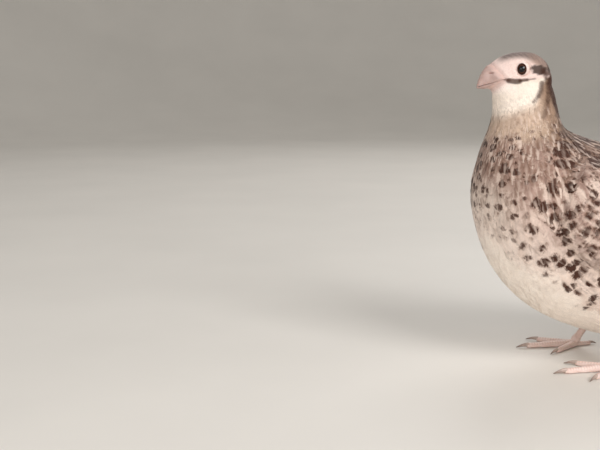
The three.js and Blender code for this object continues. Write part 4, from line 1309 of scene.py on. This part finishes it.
class QUAIL_OT_body_coat(bpy.types.Operator):
    """Lays the feathers of breast, flanks, back, belly and thighs"""

    bl_idname = "quail.body_coat"
    bl_label = "Body feathers"

    # On the wing, whose front part its own coverts hide: s behind which feathers of flank and mantle root, r above
    # which those of the mantle do, r within which the wing's front edge lies, and room for a feather of any length.
    FLANK_FROM, MANTLE_FROM, MANTLE_ABOVE, WING_REACH, AMPLE = 48, 52, -17, 21.5, 60

    def execute(self, context):
        sizes, colours, seed = settings()
        random = np.random.default_rng(seed + 1)
        some = lambda low, high: random.uniform(low, high, len(root))  # a draw for each feather in hand
        chance = lambda share: some(0, 1) < share
        firm = feather_material("Contour feathers", colours, 0.85, 45, bar_count=4.5, fringe=0.25)
        downy = feather_material("Belly down", colours, 0.95, 30)
        vane, slot = model_vane(ROUND_VANE), "back_and_breast_feathers"
        below = lambda root: belly_line(-root[:, 1]) - root[:, 2]
        on_breast = lambda root, angle: (-root[:, 1] > 42 + 0.12 * (root[:, 2] - 60)) | (angle > 2.3)

        def room_ahead(along, angle):
            """How far ahead of the wing's edge a root lies, along the lie: below 0 on the wing, ample elsewhere."""
            s, r = on_pad(along, angle)
            edge = wing_edge(r)
            on_wing = (np.abs(r) < np.maximum(wing_depth(s), 3) + 0.5) & (s < self.FLANK_FROM)
            room = np.where(s < edge, edge - s, np.where(on_wing, -9, self.AMPLE))
            return np.where(np.abs(r) < self.WING_REACH, room, self.AMPLE)

        def clear_of_wing(root, along, angle):
            """The mantle roots ahead of the wing, above its upper rim, and on its rear part."""
            s, r = on_pad(along, angle)
            return (s < 0) | (s > self.MANTLE_FROM) | (r < self.MANTLE_ABOVE)

        # Breast: small rounded feathers, which the marks by place dot with dark.
        tract = Tract(random)
        root, lie, place, along, angle = rooted(
            BODY_FORM, random, first=0.93, last=0.36, angles=(60, 300), step=3.6, spacing=4.0, reference=150,
            keep=lambda root, along, angle: (below(root) < -2)
            & (on_breast(root, angle) | (along > 0.7))
            & (room_ahead(along, angle) > -1),
        )
        long = sizes["breast_feather"] * (0.6 + 0.4 * ramp(0.95, 0.72, along))
        long = np.minimum(long, np.maximum(room_ahead(along, angle) + 4, 6))
        plain = belly_share(root + lie * (0.8 * long)[:, None])
        tract.put(
            root, lie, place, long, 4.3 + 0.5 * ramp(0.95, 0.75, along), 0.0, 0.34,
            shade=some(0.1, 0.7) * (1 - plain), streak=some(0.1, 0.6) * (1 - 0.6 * plain),
        )
        shared["blotches"] += lay_feathers("coat_breast", vane, tract, firm, slot)

        # Flanks: long feathers that sweep down and back, with a broad pale streak; a few have a blotch of their own.
        tract = Tract(random)
        root, lie, place, along, angle = rooted(
            BODY_FORM, random, first=0.7, last=0.16, angles=(58, 302), step=6.6, spacing=6.2, reference=105, steer=0.1,
            keep=lambda root, along, angle: (below(root) < -6)
            & ~on_breast(root, angle)
            & (room_ahead(along, angle) > -1),
        )
        long = np.minimum(sizes["flank_feather"], np.maximum(room_ahead(along, angle) + 5, 9))
        plain = belly_share(root + lie * (0.8 * long)[:, None])
        size = some(0.95, 1.3) * (1 - 0.8 * ramp(0.5, 0.98, plain))
        front = np.where(chance(0.3), size, NO_SPOT)
        rear = np.where(chance(0.15), size * 0.85, NO_SPOT)
        left = root[:, 0] > 0
        tract.put(
            root, lie, place, long, 6.9, 0.0, 0.42, shade=some(0.1, 0.7) * (1 - plain), streak=some(0.4, 0.95),
            spot_left=np.where(left, rear, front), spot_right=np.where(left, front, rear),
            spot_place=some(0.7, 0.78), spot_length=some(0.055, 0.08), dark=some(0.8, 1.0),
        )
        shared["blotches"] += lay_feathers("coat_flank", vane, tract, firm, slot)

        # Back and rump: barred feathers with a cream shaft line.
        tract = Tract(random)
        for first, last, step, spacing, size, width in (
            (0.86, 0.5, 2.8, 3.8, 0.75, 5.4), (0.56, 0.26, 4.0, 4.8, 1.0, 7.2), (0.27, 0.02, 3.8, 4.6, 1.1, 7.4),
        ):
            root, lie, place, _, _ = rooted(
                BODY_FORM, random, keep=clear_of_wing,
                first=first, last=last, angles=(-76, 76), step=step, spacing=spacing, reference=25,
            )
            tract.put(
                root, lie, place, sizes["back_feather"] * size, width, 0.0, 0.4,
                shade=some(0.4, 0.9), streak=some(0.15, 0.6), bars=some(0.1, 0.7),
                spot_left=np.where(chance(0.55), some(0.7, 1.2), NO_SPOT),
                spot_right=np.where(chance(0.55), some(0.7, 1.2), NO_SPOT),
            )
        shared["blotches"] += lay_feathers("coat_back", vane, tract, firm, slot, cup=0.1)

        # Belly, vent and thighs: loose cream down.
        tract = Tract(random)
        root, lie, place, _, _ = rooted(
            BODY_FORM, random, first=0.74, last=0.02, angles=(88, 272), step=2.3, spacing=2.6, reference=165,
            keep=lambda root, along, angle: below(root) > -5,
        )
        tract.put(root, lie, place, sizes["belly_feather"], 4.6, -0.03, 0.38, bend=1.0, tint=some(0.95, 1.03))
        for side in (1, -1):
            thigh = thigh_form(side)
            along, angle = quincunx(thigh, random, 0.93, 0.08, (0, 360), 2.7, 2.9, 90)
            root, normal = thigh.point(along, angle), thigh.normal(along, angle)
            down_back = np.array([0, 0.75, -0.66])
            lie = unit(down_back - normal * np.sum(down_back * normal, axis=1, keepdims=True))
            place = np.stack([0.5 + side * (0.2 + 0.1 * angle / (2 * math.pi)), 0.3 + 0.1 * along], -1)
            tract.put(root, lie, place, 9.0, 4.2, -0.03, 0.38, reach=2.2, tint=some(0.95, 1.03))
        lay_feathers("coat_belly", model_vane(DOWN_VANE), tract, downy, "pale_feathers", cup=0.05, ragged=0.14)
        return {"FINISHED"}


class QUAIL_OT_wings(bpy.types.Operator):
    """Lays the coverts, scapulars and flight feathers of both folded wings"""

    bl_idname = "quail.wings"
    bl_label = "Wings"

    def execute(self, context):
        _, colours, seed = settings()
        material = feather_material("Wing feathers", colours, 0.75, 60, bar_count=5, fringe=0.25)
        shared["flight"], slot = material, "wing_and_tail_feathers"
        short, long = model_vane(ROUND_VANE), model_vane(LONG_VANE)
        for side, label in ((1, "left"), (-1, "right")):
            random = np.random.default_rng(seed + 7)
            flight = self.tract(self.flight(), side, random)
            lay_feathers("wing_flight_" + label, long, flight, material, slot, "wing_" + label)
            coverts = self.tract(self.coverts(), side, random)
            shared["blotches"] += lay_feathers("wing_covert_" + label, short, coverts, material, slot, cup=0.15)
        return {"FINISHED"}

    def tract(self, tiers, side, random):
        tract = Tract(random)
        for s, r, size, width, angle, high, low, bars, spots in tiers:
            some = lambda low, high: random.uniform(low, high, len(s))
            height = wing_height(s, r)
            root = on_flank(side, s, r, height)
            ahead = on_flank(side, s + np.cos(angle), r + np.sin(angle), height)
            place = np.stack([0.5 + side * (0.25 + r / 400), 0.5 - s / 200], -1)
            spotted = some(0, 1) < spots
            tract.put(
                root, unit(ahead - root), place, size, width, low, high, reach=6.0, bars=bars * some(0.5, 1),
                shade=some(0.25, 0.6), streak=some(0.2, 0.7), roll=side * 0.03, tint=some(0.86, 1.0),
                spot_left=np.where(spotted, some(0.6, 1.1), NO_SPOT),
                spot_right=np.where(spotted, some(0.4, 1.1), NO_SPOT),
            )
        return tract

    # Both give tiers of feathers as s, r, length, width, angle, lift of tip and root, bars, and share with blotches.

    def flight(self):
        """Primaries, secondaries and tertials."""
        row = np.linspace(0, 1, 6)
        yield 52 + 8 * row, 13 - 10 * row, 30, 7.5, -0.12 + 0.12 * row, 0.7 + 0.1 * row, 0.15 + 0.05 * row, 0.7, 0.0
        row = np.linspace(0, 1, 9)
        high, low = 0.8 + 0.3 * row, 0.25 + 0.15 * row
        yield 37 - row, 18 - 17 * row, 28 + 9 * row, 9, -0.2 + 0.16 * row, high, low, 0.8, 0.1
        row = np.linspace(0, 1, 5)
        high, low = 1.3 + 0.1 * row, 0.5 + 0.1 * row
        yield 38 + 4 * row, -3 - 9 * row, 40 - 4 * row, 13, -0.02 + 0.1 * row, high, low, 0.9, 0.7

    def coverts(self):
        """Rows of coverts, from the last to the bend, small feathers at the wing's rim, and scapulars."""
        for s, r0, r1, count, size, width, angle0, angle1, high, low in (
            (29, 19, -13, 9, 18, 8.6, -0.2, 0.06, 1.1, 0.4),
            (23.5, 18, -14, 9, 14, 8.0, -0.18, 0.06, 0.95, 0.3),
            (18.5, 17.5, -14, 10, 13, 7.4, -0.16, 0.06, 0.85, 0.25),
            (14, 17, -14, 10, 11, 7.0, -0.14, 0.08, 0.75, 0.2),
            (10, 15.5, -13, 10, 10.5, 6.4, -0.12, 0.1, 0.65, 0.15),
            (6.5, 13, -12, 9, 10, 6.0, -0.1, 0.1, 0.55, 0.1),
            (3.5, 10, -10, 7, 9, 5.8, -0.1, 0.1, 0.5, 0.05),
            (0.8, 7, -8, 5, 8, 5.6, -0.1, 0.1, 0.45, 0.0),
        ):
            row = np.linspace(0, 1, count)
            r, angle = r0 + (r1 - r0) * row, angle0 + (angle1 - angle0) * row
            yield s + 0.8 * np.sin(row * 9), r, size, width, angle, high, low, 0.8, 0.6
        # Small feathers over the wing's front and lower edge, where it sinks into the flank.
        for back, size, high in ((-3.5, 9, 0.45), (-0.5, 9.5, 0.5), (2.5, 9.5, 0.55)):
            r = np.linspace(-18, 21, 12) + back / 4
            yield wing_edge(r) + back, r, size, 5.4, 0.004 * r, high, 0, 0.2, 0.3
        for out in (2.5, -0.5):
            s = np.arange(15, 56, 4.0) - out
            yield s, wing_depth(s) + out, 12, 6.4, -0.1, 0.6, 0, 0.2, 0.3
        # Scapulars, which run from the back over the wing's upper edge.
        for r, count, first, last, size in ((-16, 10, 1, 40, 21), (-20, 10, -2, 38, 19), (-24, 9, 0, 34, 17)):
            row = np.linspace(0, 1, count)
            s, grown = first + (last - first) * row, ramp(0, 0.6, row)
            size, width, angle = size * (0.5 + 0.5 * grown), 5.2 + 3.2 * grown, 0.03 + 0.06 * row
            yield s, r + 2 * row, size, width, angle, 0.45 + 0.3 * grown, 0.1 * grown, 0.6, 0.6


class QUAIL_OT_tail(bpy.types.Operator):
    """Lays the short fan of the tail with its coverts above and below"""

    bl_idname = "quail.tail"
    bl_label = "Tail"

    ROOT, SLOPE = (0, 60.0, 52.0), math.radians(34)
    ARCH, DROOP = 0.02, 0.16  # how the fan's sheet curves down to its sides

    def execute(self, context):
        _, _, seed = settings()
        random = np.random.default_rng(seed + 13)
        back = np.array([0, math.cos(self.SLOPE), -math.sin(self.SLOPE)])
        up = np.array([0, math.sin(self.SLOPE), math.cos(self.SLOPE)])

        def fan(s, r):
            """The place s down the tail and r out from its middle, on the sheet that guides the feathers."""
            s, r = floats(s, r)
            lift = -self.DROOP * np.abs(r) - self.ARCH * r * r
            spot = self.ROOT + back * s[..., None] + up * lift[..., None]
            spot[..., 0] = r
            return spot

        grid = fan(np.linspace(-8, 40, 40)[:, None], np.linspace(-22, 22, 40)[None, :]).reshape(-1, 3)
        corners = [i * 40 + j for i in range(39) for j in range(39)]
        faces = [(k, k + 40, k + 41, k + 1) for k in corners]
        sheet = BVHTree.FromPolygons([tuple(p) for p in grid], faces)
        tract = Tract(random)

        def row(s, r, size, width, angle, low, high, bars, spots):
            some = lambda low, high: random.uniform(low, high, len(r))
            root = fan(s, r)
            lie = unit(back * np.cos(angle)[:, None] + np.array([1.0, 0, 0]) * np.sin(angle)[:, None])
            place = np.stack([0.5 + r / 100, 0.05 + 0.1 * (s + 10) / 50 + 0 * r], -1)
            spotted = np.where(some(0, 1) < spots, 0.8, NO_SPOT)
            tract.put(
                root, lie, place, size, width, low, high, reach=9.0, bars=bars * some(0.6, 1), shade=some(0.2, 0.5),
                streak=some(0.5, 1), roll=-np.sign(r) * 0.06, spot_left=spotted, spot_right=spotted,
            )

        # Under tail coverts, the tail feathers, and three rows of coverts over them.
        row(-1.0, np.linspace(-6, 6, 5), 22.0, 7.5, np.linspace(-0.2, 0.2, 5), -3.0, -3.6, 0.1, 0.0)
        share = np.array([-1, -0.78, -0.56, -0.34, -0.12, 0.12, 0.34, 0.56, 0.78, 1.0])
        inner = 1 - np.abs(share)
        row(
            -1.0, share * 6, 31 - 7 * share**2, 7.4 - 1.0 * share**2, share * 0.22,
            -0.9 + 0.9 * inner, -0.5 + 1.0 * inner, 0.9, 0.0,
        )
        for s, count, half, size, less, width, narrower, turn, low, high, fall, bars in (
            (1.0, 7, 7.4, 20, 6, 7.6, 1.6, 0.15, (0.6, 0.5), 1.0, 0.8, 0.7),
            (-4.5, 6, 8, 17, 5, 7.6, 1.4, 0.12, (1.0, 0.6), 1.6, 1.2, 0.7),
            (-8.0, 7, 9, 15, 4, 7.4, 1.2, 0.1, (1.2, 0.6), 2.2, 1.6, 0.6),
        ):
            share = np.linspace(-1, 1, count)
            row(
                s, share * half, size - less * share**2, width - narrower * share**2, share * turn,
                low[0] - low[1] * share**2, high - fall * share**2, bars, 0.5,
            )
        vane = model_vane(LONG_VANE)
        lay_feathers("coat_tail", vane, tract, shared["flight"], "wing_and_tail_feathers", "tail", surface=sheet)
        return {"FINISHED"}


class QUAIL_OT_spots(bpy.types.Operator):
    """Carries the feathers' own dark blotches onto the skin under them"""

    bl_idname = "quail.spots"
    bl_label = "Spots on the skin"

    def execute(self, context):
        skin, blotches = shared["skin"], shared["blotches"]
        tree = nearest([spot for spot, _ in blotches])
        values = []
        for spot in from_frame(coordinates(skin.data)):
            _, i, gap = tree.find(spot)
            values.append(np.clip(1.6 - gap / max(blotches[i][1], 0.3), 0, 1) * 0.85)
        skin.data.attributes["Spots"].data.foreach_set("value", np.array(values, np.float32))
        return {"FINISHED"}


STEPS = (
    QUAIL_OT_stage, QUAIL_OT_skin, QUAIL_OT_eyes, QUAIL_OT_bill, QUAIL_OT_legs,
    QUAIL_OT_head_coat, QUAIL_OT_body_coat, QUAIL_OT_wings, QUAIL_OT_tail, QUAIL_OT_spots,
)


class QUAIL_PT_panel(bpy.types.Panel):
    """Sizes, colours and building steps of the quail"""

    bl_label = "Coturnix quail"
    bl_idname = "QUAIL_PT_panel"
    bl_space_type = "VIEW_3D"
    bl_region_type = "UI"
    bl_category = "Quail"

    def draw(self, context):
        for step in STEPS:
            self.layout.operator(step.bl_idname)
        for group in (context.scene.quail_sizes, context.scene.quail_colours):
            box = self.layout.box()
            for name in type(group).__annotations__:
                box.prop(group, name)


CLASSES = (QuailSizes, QuailColours, *STEPS, QUAIL_PT_panel)


def register():
    for item in CLASSES:
        bpy.utils.register_class(item)
    bpy.types.Scene.quail_sizes = bpy.props.PointerProperty(type=QuailSizes)
    bpy.types.Scene.quail_colours = bpy.props.PointerProperty(type=QuailColours)


def unregister():
    del bpy.types.Scene.quail_sizes
    del bpy.types.Scene.quail_colours
    for item in reversed(CLASSES):
        bpy.utils.unregister_class(item)


def main():
    register()
    for step in STEPS:
        getattr(bpy.ops.quail, step.bl_idname.split(".")[1])()


if __name__ == "__main__":
    main()
